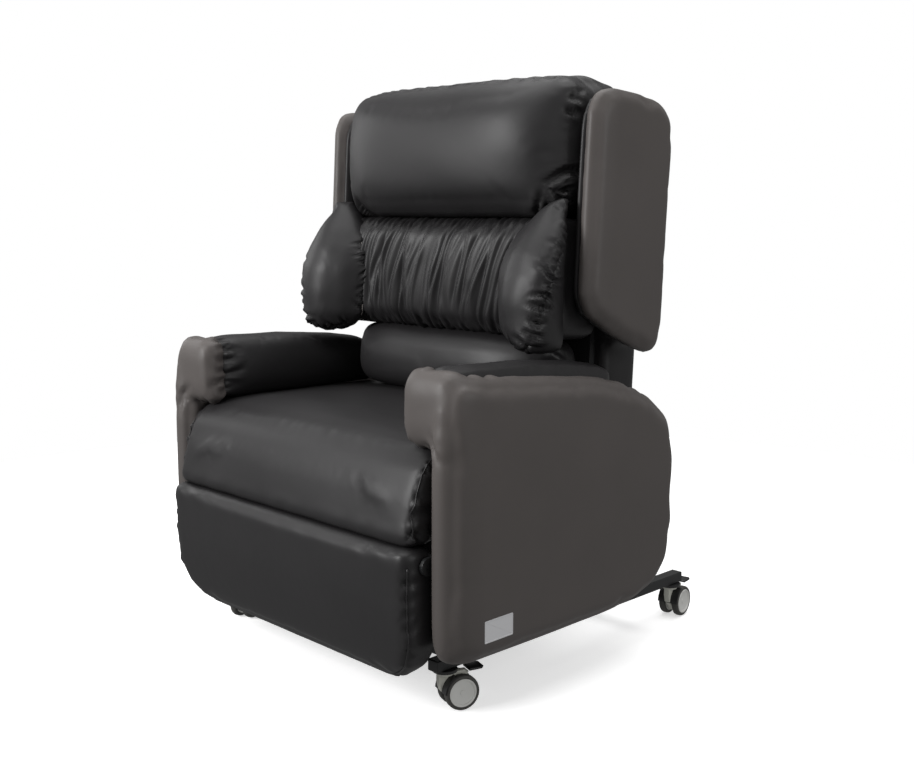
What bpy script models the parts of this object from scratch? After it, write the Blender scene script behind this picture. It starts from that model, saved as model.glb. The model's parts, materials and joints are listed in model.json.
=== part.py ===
"""Patient recliner chair: a padded chair that tilts and reclines on a castored base.

Metres, +Z up, floor at z = 0. The sitter faces -Y, so the sitter's left is +X.
Every moving body hangs on an empty that stands on its joint's axis.
"""
import math

import bpy
from mathutils import Vector

# Fits
GAP = 0.0003            # between pieces that touch
RUNNING_GAP = 0.0004    # round a shaft in its hole

# Widths, measured out from the middle plane
PANEL_INNER, PANEL_OUTER = 0.432, 0.497
PAD_INNER = 0.345
SEAT_HALF = 0.413
WING_INNER, WING_OUTER = 0.385, 0.450
BACK_HALF = 0.375

# Joint axes, (y, z)
TILT_AXIS = (0.020, 0.340)
RECLINE_AXIS = (0.130, 0.430)
LEGREST_AXIS = (-0.458, 0.335)
BACK_LEAN = math.radians(3.4)

# Base frame
RAIL_X, RAIL_WIDTH = 0.370, 0.030
RAIL_LOW, RAIL_HIGH = 0.0885, 0.1135
RAIL_FRONT, RAIL_REAR = -0.395, 0.455
CROSS_Y = {"front": -0.310, "rear": 0.315}
POST_X, POST_THICK, POST_HALF = 0.3625, 0.010, 0.022

# Castors: twin wheels trailing behind the swivel
WHEEL_R, WHEEL_INNER, WHEEL_OUTER = 0.0375, 0.009, 0.026
AXLE_R, STEM_R = 0.006, 0.005
TRAIL = 0.030
SWIVEL = {"front": (-0.360, math.radians(-20.0)), "rear": (0.424, math.radians(8.0))}

# Seat frame
FRAME_LOW, FRAME_HIGH = 0.3257, 0.3557
SEAT_RAIL_X, SEAT_RAIL_WIDTH = 0.345, 0.020
SEAT_CROSS_Y = {"front": -0.285, "rear": 0.045}
CUSHION_LOW, CUSHION_HIGH = 0.374, 0.557
HINGE_PIN_R = 0.008

# Gas springs: (x, start (y, z), end (y, z), body length, play in the far eye)
TILT_SPRING = (-0.060, (0.300, 0.150), (-0.285, 0.300), 0.340, 0.0032)
RECLINE_SPRING = (0.060, (-0.285, 0.285), (0.169, 0.300), 0.300, 0.0064)
LEGREST_SPRING = (0.170, (0.045, 0.300), (-0.398, 0.322), 0.290, 0.0090)
STUD_R = 0.004
SPRING_R, SPRING_ROD_R = 0.014, 0.005
ROD_INSIDE = 0.140      # length of rod in the cylinder at rest

for old in list(bpy.data.objects):
    bpy.data.objects.remove(old, do_unlink=True)

CHAIR = bpy.data.collections.new("patient_recliner_chair")
CUTTERS = bpy.data.collections.new("cutters")
bpy.context.scene.collection.children.link(CHAIR)
bpy.context.scene.collection.children.link(CUTTERS)


# ---------------------------------------------------------------- materials

def linear(code):
    """An sRGB hex colour as the linear RGBA a shader takes."""
    parts = [int(code[i:i + 2], 16) / 255 for i in (1, 3, 5)]
    return [c / 12.92 if c <= 0.04045 else ((c + 0.055) / 1.055) ** 2.4 for c in parts] + [1.0]


MATERIALS = {
    "black_vinyl": ("#2c2b2c", 0.45, 0.0),
    "grey_vinyl": ("#464342", 0.50, 0.0),
    "frame_steel": ("#202122", 0.40, 0.6),
    "board_lining": ("#1d1d1e", 0.90, 0.0),
    "castor_grey": ("#c9c9bf", 0.45, 0.0),
    "wheel_plastic": ("#d2d2cf", 0.40, 0.0),
    "pedal_plastic": ("#1e1e1e", 0.45, 0.0),
    "spring_steel": ("#b8babc", 0.25, 1.0),
    "label_foil": ("#a9a9ab", 0.35, 0.8),
}


def piece_material(piece, look):
    """A Principled material of the piece's own."""
    code, roughness, metallic = MATERIALS[look]
    material = bpy.data.materials.new(f"{piece}_{look}")
    material.use_nodes = True
    shader = material.node_tree.nodes["Principled BSDF"]
    shader.inputs["Base Color"].default_value = linear(code)
    shader.inputs["Roughness"].default_value = roughness
    shader.inputs["Metallic"].default_value = metallic
    return material


# ------------------------------------------------------------- joint empties

AXES = {}
OFFSETS = {}


def axis_empty(body, parent, at, turn=(0.0, 0.0, 0.0), own_frame=False):
    """An empty on a body's joint axis; own_frame bodies are modelled round their own empty."""
    empty = bpy.data.objects.new(f"axis_{body}", None)
    empty.empty_display_size = 0.05
    CHAIR.objects.link(empty)
    place = Vector(at)
    if parent:
        empty.parent = AXES[parent]
        place = place - OFFSETS[parent]
    empty.location = place
    empty.rotation_euler = turn
    AXES[body] = empty
    OFFSETS[body] = Vector((0, 0, 0)) if own_frame else Vector(at)


def hang(shape, body):
    """Hang a shape, placed in the chair's frame, on its body's empty."""
    shape.parent = AXES[body]
    shape.location = shape.location - OFFSETS[body]
    return shape


# -------------------------------------------------------------------- shapes

def soften(shape, width, segments=2):
    bevel = shape.modifiers.new("soft_edges", "BEVEL")
    bevel.width = width
    bevel.segments = segments
    bevel.limit_method = "ANGLE"


def block(body, size, at, turn=(0.0, 0.0, 0.0), edge=0.0, segments=2):
    """A box of a given size about its centre."""
    bpy.ops.mesh.primitive_cube_add(size=1.0, location=at, rotation=turn)
    shape = bpy.context.object
    shape.scale = size
    bpy.ops.object.transform_apply(location=False, rotation=False, scale=True)
    if edge:
        soften(shape, edge, segments)
    return hang(shape, body)


def round_bar(body, radius, length, at, along="X", sides=24):
    """A cylinder about its centre, along one of the frame's axes."""
    turns = {"X": (0.0, math.pi / 2, 0.0), "Y": (math.pi / 2, 0.0, 0.0), "Z": (0.0, 0.0, 0.0)}
    bpy.ops.mesh.primitive_cylinder_add(
        vertices=sides, radius=radius, depth=length, location=at, rotation=turns[along])
    return hang(bpy.context.object, body)


def side_profile(body, outline, x_low, x_high, smooth=False, edge=0.0, segments=2):
    """A flat outline in (y, z) as thick as x_low to x_high."""
    curve = bpy.data.curves.new("outline", "CURVE")
    curve.dimensions = "2D"
    curve.fill_mode = "BOTH"
    curve.extrude = (x_high - x_low) / 2
    curve.resolution_u = 4
    spline = curve.splines.new("BEZIER" if smooth else "POLY")
    points = spline.bezier_points if smooth else spline.points
    points.add(len(outline) - 1)
    for point, (y, z) in zip(points, outline):
        if smooth:
            point.co = (y, z, 0.0)
            point.handle_left_type = point.handle_right_type = "AUTO"
        else:
            point.co = (y, z, 0.0, 1.0)
    spline.use_cyclic_u = True
    bent = bpy.data.objects.new("outline", curve)
    CHAIR.objects.link(bent)
    bpy.context.view_layer.update()
    solid = bpy.data.meshes.new_from_object(bent.evaluated_get(bpy.context.evaluated_depsgraph_get()))
    bpy.data.objects.remove(bent, do_unlink=True)
    shape = bpy.data.objects.new("profile", solid)
    CHAIR.objects.link(shape)
    shape.location = ((x_low + x_high) / 2, 0.0, 0.0)
    shape.rotation_euler = (math.pi / 2, 0.0, math.pi / 2)
    weld = shape.modifiers.new("weld_caps", "WELD")
    weld.merge_threshold = 0.00005
    if edge:
        soften(shape, edge, segments)
    return hang(shape, body)


def arc(centre, radius, start, end, steps):
    """Points along an arc in (y, z), angles in degrees from +Y."""
    angles = [math.radians(start + (end - start) * i / steps) for i in range(steps + 1)]
    return [(centre[0] + radius * math.cos(a), centre[1] + radius * math.sin(a)) for a in angles]


def bent_tube(body, route, radius):
    """A round tube along straight runs."""
    curve = bpy.data.curves.new("tube", "CURVE")
    curve.dimensions = "3D"
    curve.bevel_depth = radius
    curve.bevel_resolution = 3
    curve.use_fill_caps = True
    spline = curve.splines.new("POLY")
    spline.points.add(len(route) - 1)
    for point, place in zip(spline.points, route):
        point.co = (*place, 1.0)
    bent = bpy.data.objects.new("tube", curve)
    CHAIR.objects.link(bent)
    return hang(bent, body)


def use_tool(shape, tool, operation):
    """Join or cut with another shape, which moves to the cutters."""
    for collection in list(tool.users_collection):
        collection.objects.unlink(tool)
    CUTTERS.objects.link(tool)
    tool.hide_render = True
    tool.display_type = "WIRE"
    boolean = shape.modifiers.new(operation.lower(), "BOOLEAN")
    boolean.operation = operation
    boolean.object = tool
    return shape


def join(shape, *tools):
    for tool in tools:
        use_tool(shape, tool, "UNION")
    return shape


def cut(shape, *tools):
    for tool in tools:
        use_tool(shape, tool, "DIFFERENCE")
    return shape


def piece(shape, name, look):
    """Name a finished shape as a sub-part and give it its material."""
    shape.name = name
    shape.data.name = name
    for collection in list(shape.users_collection):
        collection.objects.unlink(shape)
    CHAIR.objects.link(shape)
    shape.data.materials.clear()
    shape.data.materials.append(piece_material(name, look))
    if shape.type == "MESH":
        shape.data.shade_smooth()
        shape.data.set_sharp_from_angle(angle=math.radians(35))
    return shape


SIDES = {"left": 1, "right": -1}


def span(side, near, far):
    """An x range given outwards from the middle plane, on one side."""
    return (near, far) if side > 0 else (-far, -near)


# ---------------------------------------------------------------------- base

def base_frame():
    middle = (RAIL_LOW + RAIL_HIGH) / 2
    height = RAIL_HIGH - RAIL_LOW
    for side_name, side in SIDES.items():
        rail = block("base", (RAIL_WIDTH, RAIL_REAR - RAIL_FRONT, height),
                     (side * RAIL_X, (RAIL_REAR + RAIL_FRONT) / 2, middle), edge=0.002, segments=1)
        piece(rail, f"base_rail_{side_name}", "frame_steel")

        foot = RAIL_HIGH + GAP
        y, z = TILT_AXIS
        outline = [(y + 0.045, foot)] + arc(TILT_AXIS, POST_HALF, 0, 180, 12) + [(y - 0.045, foot)]
        low, high = span(side, POST_X - POST_THICK / 2, POST_X + POST_THICK / 2)
        post = side_profile("base", outline, low, high)
        cut(post, round_bar("base", HINGE_PIN_R + RUNNING_GAP, 0.04, (side * POST_X, y, z)))
        piece(post, f"tilt_post_{side_name}", "frame_steel")

    cross_half = RAIL_X - RAIL_WIDTH / 2 - GAP
    for end, y in CROSS_Y.items():
        cross = block("base", (2 * cross_half, 0.030, height), (0, y, middle))
        if end == "rear":
            x, (stud_y, stud_z) = TILT_SPRING[0], TILT_SPRING[1]
            lug = block("base", (0.008, 0.028, 0.064), (x + 0.014, stud_y + 0.004, 0.134))
            stud = round_bar("base", STUD_R, 0.022, (x + 0.004, stud_y, stud_z), sides=16)
            join(cross, lug, stud)
        piece(cross, f"base_cross_{end}", "frame_steel")


def castors():
    for side_name, side in SIDES.items():
        for end, (y, yaw) in SWIVEL.items():
            corner = f"{end}_{side_name}"
            body = f"castor_{corner}"
            axis_empty(body, "base", (side * RAIL_X, y, 0.0), (0, 0, yaw * side), own_frame=True)

            plate = round_bar("base", 0.026, 0.006, (side * RAIL_X, y, RAIL_LOW - GAP - 0.003), "Z")
            stem = round_bar("base", STEM_R, 0.024, (side * RAIL_X, y, 0.0725), "Z", 16)
            piece(join(plate, stem), f"castor_plate_{corner}", "pedal_plastic")

            hub = (0.0, TRAIL, WHEEL_R)
            web = round_bar(body, 0.030, 0.015, hub, sides=32)
            neck = block(body, (0.015, 0.030, 0.044), (0, 0.001, 0.0580))
            boss = round_bar(body, 0.017, 0.0045, (0, 0, 0.0790), "Z", 24)
            spine = block(body, (0.013, 0.058, 0.008), (0, 0.027, 0.0740))
            join(web, neck, boss, spine)
            cut(web, round_bar(body, AXLE_R + RUNNING_GAP, 0.05, hub, sides=16),
                round_bar(body, STEM_R + RUNNING_GAP, 0.040, (0, 0, 0.080), "Z", 16))
            piece(web, f"castor_fork_{corner}", "castor_grey")

            axis_empty(f"wheels_{corner}", body, hub, own_frame=True)
            piece(wheel_set(f"wheels_{corner}"), f"castor_wheels_{corner}", "wheel_plastic")

            pivot = (0.0, TRAIL + 0.022, 0.0805)
            axis_empty(f"pedal_{corner}", body, pivot, own_frame=True)
            pedal = block(f"pedal_{corner}", (0.034, 0.034, 0.005), (0, 0.013, 0.001), edge=0.0015, segments=1)
            piece(pedal, f"brake_pedal_{corner}", "pedal_plastic")


def wheel_set(body):
    """Two dished wheels and their axle, turned as one profile about the axle."""
    rim, dish = WHEEL_R, WHEEL_OUTER - 0.004
    half = [(0.0, dish), (0.026, dish), (0.028, WHEEL_OUTER), (0.034, WHEEL_OUTER),
            (rim, WHEEL_OUTER - 0.004), (rim, WHEEL_INNER + 0.003), (0.034, WHEEL_INNER),
            (AXLE_R, WHEEL_INNER)]
    outline = half + [(r, -x) for r, x in reversed(half)]
    mesh = bpy.data.meshes.new("wheel_profile")
    mesh.from_pydata([(r, 0.0, x) for r, x in outline], [(i, i + 1) for i in range(len(outline) - 1)], [])
    shape = bpy.data.objects.new("wheel_profile", mesh)
    CHAIR.objects.link(shape)
    screw = shape.modifiers.new("turn", "SCREW")
    screw.steps = screw.render_steps = 24
    screw.use_merge_vertices = True
    screw.merge_threshold = 0.00005
    shape.rotation_euler = (0.0, math.pi / 2, 0.0)
    return hang(shape, body)


# ---------------------------------------------------------------------- seat

def seat_frame():
    middle = (FRAME_LOW + FRAME_HIGH) / 2
    height = FRAME_HIGH - FRAME_LOW
    front, rear = -0.405, 0.150
    for side_name, side in SIDES.items():
        rail = block("seat", (SEAT_RAIL_WIDTH, rear - front, height),
                     (side * SEAT_RAIL_X, (front + rear) / 2, middle))
        tilt_pin = round_bar("seat", HINGE_PIN_R, 0.026, (side * 0.3595, *TILT_AXIS))
        outline = [(RECLINE_AXIS[0] - 0.022, FRAME_LOW + 0.004), (RECLINE_AXIS[0] + 0.018, FRAME_LOW + 0.004)]
        outline += arc(RECLINE_AXIS, 0.020, 0, 180, 10)
        low, high = span(side, 0.335, 0.343)
        ear = side_profile("seat", outline, low, high)
        hinge_pin = round_bar("seat", HINGE_PIN_R, 0.040, (side * 0.320, *RECLINE_AXIS))
        piece(join(rail, tilt_pin, ear, hinge_pin), f"seat_rail_{side_name}", "frame_steel")

    cross_half = SEAT_RAIL_X - SEAT_RAIL_WIDTH / 2 - GAP
    springs_at = {"front": (TILT_SPRING[0], TILT_SPRING[2]), "rear": (LEGREST_SPRING[0], LEGREST_SPRING[1])}
    for end, y in SEAT_CROSS_Y.items():
        cross = block("seat", (2 * cross_half, 0.026, height), (0, y, middle))
        studs = [springs_at[end]]
        if end == "front":
            studs.append((RECLINE_SPRING[0], RECLINE_SPRING[1]))
        for x, (stud_y, stud_z) in studs:
            drop = FRAME_LOW + 0.006 - (stud_z - 0.010)
            lug = block("seat", (0.008, 0.022, drop), (x + 0.016, stud_y, stud_z - 0.010 + drop / 2))
            stud = round_bar("seat", STUD_R, 0.026, (x + 0.004, stud_y, stud_z), sides=16)
            join(cross, lug, stud)
        piece(cross, f"seat_cross_{end}", "frame_steel")

    # The board stops short of the recline lever, which swings forward under the seat's rear edge.
    board = block("seat", (0.708, 0.490, CUSHION_LOW - FRAME_HIGH - 2 * GAP),
                  (0, -0.1650, (CUSHION_LOW + FRAME_HIGH) / 2))
    piece(board, "seat_board", "board_lining")


def seat_cushion():
    low = CUSHION_LOW
    outline = [(0.100, low), (0.100, CUSHION_HIGH), (-0.400, CUSHION_HIGH), (-0.436, 0.545),
               (-0.462, 0.505), (-0.481, 0.443), (-0.489, 0.390), (-0.487, low)]
    cushion = side_profile("seat", outline, -SEAT_HALF, SEAT_HALF, edge=0.010)
    piece(cushion, "seat_cushion", "black_vinyl")


PANEL_OUTLINE = [
    (-0.452, 0.230), (-0.445, 0.175), (-0.415, 0.146), (-0.340, 0.140), (-0.147, 0.136), (0.014, 0.140),
    (0.110, 0.160), (0.200, 0.190), (0.240, 0.240), (0.252, 0.330), (0.253, 0.470), (0.235, 0.550),
    (0.170, 0.602), (0.081, 0.640), (-0.018, 0.665), (-0.152, 0.680), (-0.280, 0.692), (-0.400, 0.706),
    (-0.440, 0.690), (-0.452, 0.640), (-0.452, 0.450),
]


def arms():
    for side_name, side in SIDES.items():
        low, high = span(side, PANEL_INNER, PANEL_OUTER)
        panel = side_profile("seat", PANEL_OUTLINE, low, high, smooth=True, edge=0.014)
        piece(panel, f"arm_panel_{side_name}", "grey_vinyl")

        outline = [(-0.442, 0.575), (-0.430, 0.562), (0.080, 0.562), (0.088, 0.575), (0.085, 0.665),
                   (0.070, 0.678), (-0.040, 0.694), (-0.200, 0.712), (-0.395, 0.716), (-0.432, 0.700),
                   (-0.444, 0.665)]
        low, high = span(side, PAD_INNER, PANEL_INNER - GAP)
        pad = side_profile("seat", outline, low, high, edge=0.012)
        piece(pad, f"arm_pad_{side_name}", "black_vinyl")


def nameplate():
    """A blank foil plate low on the outside of the left panel."""
    plate = block("seat", (0.0012, 0.080, 0.045), (PANEL_OUTER + GAP + 0.0006, -0.342, 0.203))
    piece(plate, "nameplate", "label_foil")


def legrest_brackets():
    """Side plates that carry the leg rest's hinge tube."""
    y, z = LEGREST_AXIS
    for side_name, side in SIDES.items():
        outline = [(-0.300, z - 0.018), (-0.300, z + 0.018)] + arc(LEGREST_AXIS, 0.018, 90, 270, 12)
        low, high = span(side, 0.4205, 0.4285)
        bracket = side_profile("seat", outline, low, high)
        cut(bracket, round_bar("seat", 0.007, 0.05, (side * 0.4245, y, z), sides=16))
        piece(bracket, f"legrest_bracket_{side_name}", "frame_steel")
    tube = round_bar("seat", 0.007 - GAP, 0.857, (0, y, z), sides=16)
    piece(tube, "legrest_hinge_tube", "frame_steel")


# ------------------------------------------------------------------- legrest

def legrest():
    barrel = 0.036
    outline = arc(LEGREST_AXIS, barrel, 0, 175, 14)
    outline += [(-0.503, 0.290), (-0.505, 0.250), (-0.500, 0.200), (-0.486, 0.140), (-0.470, 0.100),
                (-0.456, 0.082), (-0.444, 0.080), (-0.436, 0.095), (-0.436, 0.290)]
    cushion = side_profile("legrest", outline, -SEAT_HALF, SEAT_HALF)
    y, z = LEGREST_AXIS
    cut(cushion, round_bar("legrest", 0.007 + RUNNING_GAP, 0.9, (0, y, z), sides=16))
    for side in SIDES.values():
        cut(cushion, block("legrest", (0.20, 0.20, 0.10), (side * 0.405, -0.47, 0.088), (0, side * -0.72, 0)))
    piece(cushion, "legrest_cushion", "black_vinyl")

    board = block("legrest", (0.640, 0.010, 0.140), (0, -0.436 + GAP + 0.005, 0.215))
    x, (_, _), (stud_y, stud_z) = LEGREST_SPRING[:3]
    lug = side_profile("legrest", [(-0.4300, 0.200), (-0.4300, 0.270), (stud_y - 0.008, stud_z + 0.006),
                                   (stud_y + 0.008, stud_z + 0.006), (stud_y + 0.006, 0.280), (-0.412, 0.200)],
                       x + 0.014, x + 0.022)
    stud = round_bar("legrest", STUD_R, 0.028, (x + 0.005, stud_y, stud_z), sides=16)
    piece(join(board, lug, stud), "legrest_board", "board_lining")


# ---------------------------------------------------------------------- back

def back_frame():
    y = RECLINE_AXIS[0]
    for side_name, side in SIDES.items():
        upright = block("back", (0.025, 0.025, 0.790), (side * 0.3165, y, 0.805))
        cut(upright, round_bar("back", HINGE_PIN_R + RUNNING_GAP, 0.06, (side * 0.3165, *RECLINE_AXIS)))
        piece(upright, f"back_upright_{side_name}", "frame_steel")
    cross_half = 0.3165 - 0.0125 - GAP
    for end, z in {"low": 0.500, "high": 1.150}.items():
        cross = block("back", (2 * cross_half, 0.020, 0.025), (0, y, z))
        if end == "low":
            # The spring's far stud, on a lever below the hinge, undone from the back's lean.
            x, (_, _), (stud_y, stud_z) = RECLINE_SPRING[:3]
            stud_y, stud_z = unlean(stud_y, stud_z)
            outline = [(y - 0.009, 0.505), (y + 0.009, 0.505), (stud_y + 0.012, stud_z + 0.005),
                       (stud_y + 0.010, stud_z - 0.009), (stud_y - 0.010, stud_z - 0.009)]
            lever = side_profile("back", outline, x + 0.012, x + 0.020)
            stud = round_bar("back", STUD_R, 0.026, (x + 0.004, stud_y, stud_z), sides=16)
            join(cross, lever, stud)
        piece(cross, f"back_cross_{end}", "frame_steel")

    board = block("back", (0.690, 0.012, 0.690), (0, y - 0.0128 - 0.006, 0.875))
    piece(board, "back_board", "board_lining")

    front = y + 0.0128
    shell = block("back", (2 * WING_INNER - 2 * GAP, 0.220 - front, 0.530), (0, (0.220 + front) / 2, 0.975),
                  edge=0.012)
    lower = block("back", (0.720, 0.272 - front, 0.185), (0, (0.272 + front) / 2, 0.625), edge=0.012)
    piece(join(shell, lower), "back_shell", "black_vinyl")


def unlean(y, z):
    """A point of the chair's frame, in the upright frame that the back is modelled in."""
    dy, dz = y - RECLINE_AXIS[0], z - RECLINE_AXIS[1]
    turn = BACK_LEAN
    return (RECLINE_AXIS[0] + dy * math.cos(turn) - dz * math.sin(turn),
            RECLINE_AXIS[1] + dy * math.sin(turn) + dz * math.cos(turn))


def back_cushions():
    rear = RECLINE_AXIS[0] - 0.0251
    heights = {"head": (0.990, 1.285), "mid": (0.722, 0.986), "lumbar": (0.590, 0.718)}
    fronts = {"head": -0.100, "mid": -0.064, "lumbar": -0.086}
    halves = {"head": 0.372, "mid": BACK_HALF, "lumbar": 0.332}
    edges = {"head": 0.045, "mid": 0.030, "lumbar": 0.030}
    for place, (low, high) in heights.items():
        front = fronts[place]
        cushion = block("back", (2 * halves[place], rear - front, high - low),
                        (0, (rear + front) / 2, (low + high) / 2), edge=edges[place], segments=3)
        if place == "head":
            # The front corners turn back, which leaves room for the tips of the lateral cushions.
            for side in SIDES.values():
                cut(cushion, block("back", (0.30, 0.10, 0.50), (side * 0.327, -0.117, 1.14), (0, 0, side * 0.42)))
        piece(cushion, f"{place}_cushion", "black_vinyl")


def lateral_cushions():
    """Wedges that fill the corners between the mid cushion and the wings."""
    rear = -0.0643
    outline = [(rear, 0.724), (rear, 1.035), (rear - 0.018, 1.035), (rear - 0.052, 0.930),
               (-0.158, 0.790), (-0.156, 0.735), (-0.145, 0.724)]
    for side_name, side in SIDES.items():
        low, high = span(side, 0.215, 0.383)
        cushion = side_profile("back", outline, low, high)
        taper = block("back", (0.30, 0.10, 0.40), (side * 0.235, -0.176, 0.86), (0, 0, side * -0.36))
        # The inner side slopes up to a tip beside the wing.
        slope = block("back", (0.40, 0.30, 0.20), (side * 0.2068, -0.10, 0.998), (0, side * -0.822, 0))
        cut(cushion, taper, slope)
        piece(cushion, f"lateral_cushion_{side_name}", "black_vinyl")


def wings():
    outline = [(-0.034, 0.900), (-0.034, 0.820), (-0.014, 0.776), (0.050, 0.742), (0.130, 0.712), (0.185, 0.698),
               (0.212, 0.714), (0.220, 0.780), (0.220, 0.960), (0.220, 1.160), (0.212, 1.225), (0.170, 1.256),
               (0.100, 1.266), (0.030, 1.268), (-0.016, 1.254), (-0.034, 1.210), (-0.036, 1.050)]
    for side_name, side in SIDES.items():
        low, high = span(side, WING_INNER, WING_OUTER)
        wing = side_profile("back", outline, low, high, smooth=True, edge=0.010)
        piece(wing, f"wing_{side_name}", "grey_vinyl")


BAR_Y, BAR_Z, BAR_R = 0.300, 1.020, 0.011


def push_bar():
    near, reach, bend_r = 0.220 + GAP, 0.200, 0.030
    turns = [math.radians(18 * i) for i in range(6)]
    bend = [(BAR_Y - bend_r + bend_r * math.sin(a), bend_r * (1 - math.cos(a))) for a in turns]
    route = [(-reach, near, BAR_Z)]
    route += [(-reach + inset, y, BAR_Z) for y, inset in bend]
    route += [(reach - inset, y, BAR_Z) for y, inset in reversed(bend)]
    route.append((reach, near, BAR_Z))
    piece(bent_tube("back", route, BAR_R), "push_bar", "frame_steel")


def release_paddles():
    """Blades that swing on the push bar and unlock the gas springs."""
    for name, x in {"tilt": -0.080, "recline": 0.080}.items():
        body = f"paddle_{name}"
        axis_empty(body, "back", (x, BAR_Y, BAR_Z), own_frame=True)
        ring = round_bar(body, BAR_R + 0.005, 0.030, (0, 0, 0))
        blade = block(body, (0.026, 0.005, 0.040), (0, -0.010, -0.030), (0.12, 0, 0))
        join(ring, blade)
        cut(ring, round_bar(body, BAR_R + RUNNING_GAP, 0.08, (0, 0, 0)))
        piece(ring, f"release_paddle_{name}", "pedal_plastic")


# --------------------------------------------------------------- gas springs

def gas_spring(name, spring, parent):
    """A cylinder on the first stud and a rod whose eye has play round the second."""
    x, start, end, body_length, play = spring
    across = Vector((end[0] - start[0], end[1] - start[1]))
    reach, slope = across.length, math.atan2(across[1], across[0])
    for body in (f"{name}_spring", f"{name}_rod"):
        axis_empty(body, parent, (x, *start), (slope, 0, 0), own_frame=True)

    tube = round_bar(f"{name}_spring", SPRING_R, body_length - 0.030, (0, 0.015 + body_length / 2, 0), "Y", 20)
    eye = round_bar(f"{name}_spring", 0.009, 0.009, (0, 0, 0))
    neck = block(f"{name}_spring", (0.009, 0.028, 0.010), (0, 0.019, 0))
    join(tube, neck, eye)
    cut(tube, round_bar(f"{name}_spring", STUD_R + RUNNING_GAP, 0.05, (0, 0, 0), sides=16),
        round_bar(f"{name}_spring", SPRING_ROD_R + RUNNING_GAP, body_length,
                  (0, body_length / 2 + 0.060, 0), "Y", 16))
    piece(tube, f"{name}_gas_spring", "pedal_plastic")

    hole = STUD_R + play
    inner_end = body_length - ROD_INSIDE
    rod_end = reach - hole - 0.002
    rod = round_bar(f"{name}_rod", SPRING_ROD_R, rod_end - inner_end, (0, (rod_end + inner_end) / 2, 0), "Y", 16)
    ring = round_bar(f"{name}_rod", hole + 0.003, 0.009, (0, reach, 0))
    join(rod, ring)
    cut(rod, round_bar(f"{name}_rod", hole, 0.05, (0, reach, 0)))
    piece(rod, f"{name}_spring_rod", "spring_steel")


def main():
    axis_empty("base", None, (0, 0, 0))
    axis_empty("seat", "base", (0, *TILT_AXIS))
    axis_empty("legrest", "seat", (0, *LEGREST_AXIS))
    axis_empty("back", "seat", (0, *RECLINE_AXIS), (-BACK_LEAN, 0, 0))
    base_frame()
    castors()
    seat_frame()
    seat_cushion()
    arms()
    nameplate()
    legrest_brackets()
    legrest()
    back_frame()
    back_cushions()
    lateral_cushions()
    wings()
    push_bar()
    release_paddles()
    gas_spring("tilt", TILT_SPRING, "base")
    gas_spring("recline", RECLINE_SPRING, "seat")
    gas_spring("legrest", LEGREST_SPRING, "seat")


main()
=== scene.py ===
"""Looks for the patient recliner chair: upholstery, castors, frame finishes and a studio.

Metres, +Z up. The sitter faces -Y, so the sitter's left is +X.
"""
import json
import math
import random

import bmesh
import bpy
import numpy as np
from mathutils import Matrix, Vector
from mathutils.bvhtree import BVHTree


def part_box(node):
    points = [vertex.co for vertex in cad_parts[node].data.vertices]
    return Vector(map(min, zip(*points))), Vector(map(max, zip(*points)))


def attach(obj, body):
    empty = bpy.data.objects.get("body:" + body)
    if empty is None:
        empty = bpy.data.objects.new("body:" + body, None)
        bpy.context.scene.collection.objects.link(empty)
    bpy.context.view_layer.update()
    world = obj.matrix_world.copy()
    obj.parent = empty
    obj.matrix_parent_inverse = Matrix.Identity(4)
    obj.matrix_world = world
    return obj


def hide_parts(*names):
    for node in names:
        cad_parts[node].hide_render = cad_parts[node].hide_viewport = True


bl_info = {
    "name": "Patient recliner chair",
    "version": (1, 0, 0),
    "blender": (4, 5, 0),
    "location": "View3D > Sidebar > Recliner",
    "description": "Upholstery, castors and frame finishes for a patient recliner chair",
    "category": "Add Mesh",
}

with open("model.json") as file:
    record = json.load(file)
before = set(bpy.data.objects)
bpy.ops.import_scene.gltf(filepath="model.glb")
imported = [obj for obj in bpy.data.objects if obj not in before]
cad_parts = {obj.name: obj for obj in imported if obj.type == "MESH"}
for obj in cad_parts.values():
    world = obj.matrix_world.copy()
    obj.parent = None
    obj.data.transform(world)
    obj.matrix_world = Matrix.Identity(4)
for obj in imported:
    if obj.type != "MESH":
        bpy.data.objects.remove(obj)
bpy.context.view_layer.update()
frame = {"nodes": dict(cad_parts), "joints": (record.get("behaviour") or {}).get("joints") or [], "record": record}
JOINTS = {joint["name"]: joint for joint in frame["joints"]}
SIDES = {"left": 1, "right": -1}
HINGE = Vector(JOINTS["back_recline"]["pos_m"])
LEAN = math.radians(3.4)          # the back's lean at rest
MM = 0.001
# Radii that the covers' edges roll over with.
SEAT_ROLL, LEGREST_ROLL, ARM_ROLL, SHELL_ROLL, HEAD_ROLL = 0.012, 0.010, 0.023, 0.014, 0.040
MID_ROLL, LUMBAR_ROLL, WING_ROLL, WING_LINING_ROLL, PLAIN_ROLL = 0.026, 0.040, 0.017, 0.008, 0.003
SEAM_INSET = 0.030                # the rear cover's seam, in from its edge
MERGE = 0.00002                   # turned points closer than this are one
DRAFT_VOXEL = 0.006               # the first, finer remesh of every cover
CLOTH_STEPS = 16                  # simulation frames that a cover swells for
FOAM_PRESSURE = 4.0
EDGE_DRAW = 0.25                  # share of the swell's cap by which edges may draw in
WAVES = 7                         # sine waves that add up to a cover's unevenness


# ------------------------------------------------------------------ measures

def rest_box(node):
    """A CAD node's corners at rest, as plain tuples."""
    low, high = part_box(node)
    return tuple(low), tuple(high)


def upright_box(node):
    """The box of a node of the back, with the back's lean undone about the recline hinge."""
    turn = Matrix.Translation(HINGE) @ Matrix.Rotation(LEAN, 4, "X") @ Matrix.Translation(-HINGE)
    places = [turn @ vertex.co for vertex in frame["nodes"][node].data.vertices]
    return (tuple(min(p[i] for p in places) for i in range(3)),
            tuple(max(p[i] for p in places) for i in range(3)))


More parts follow.
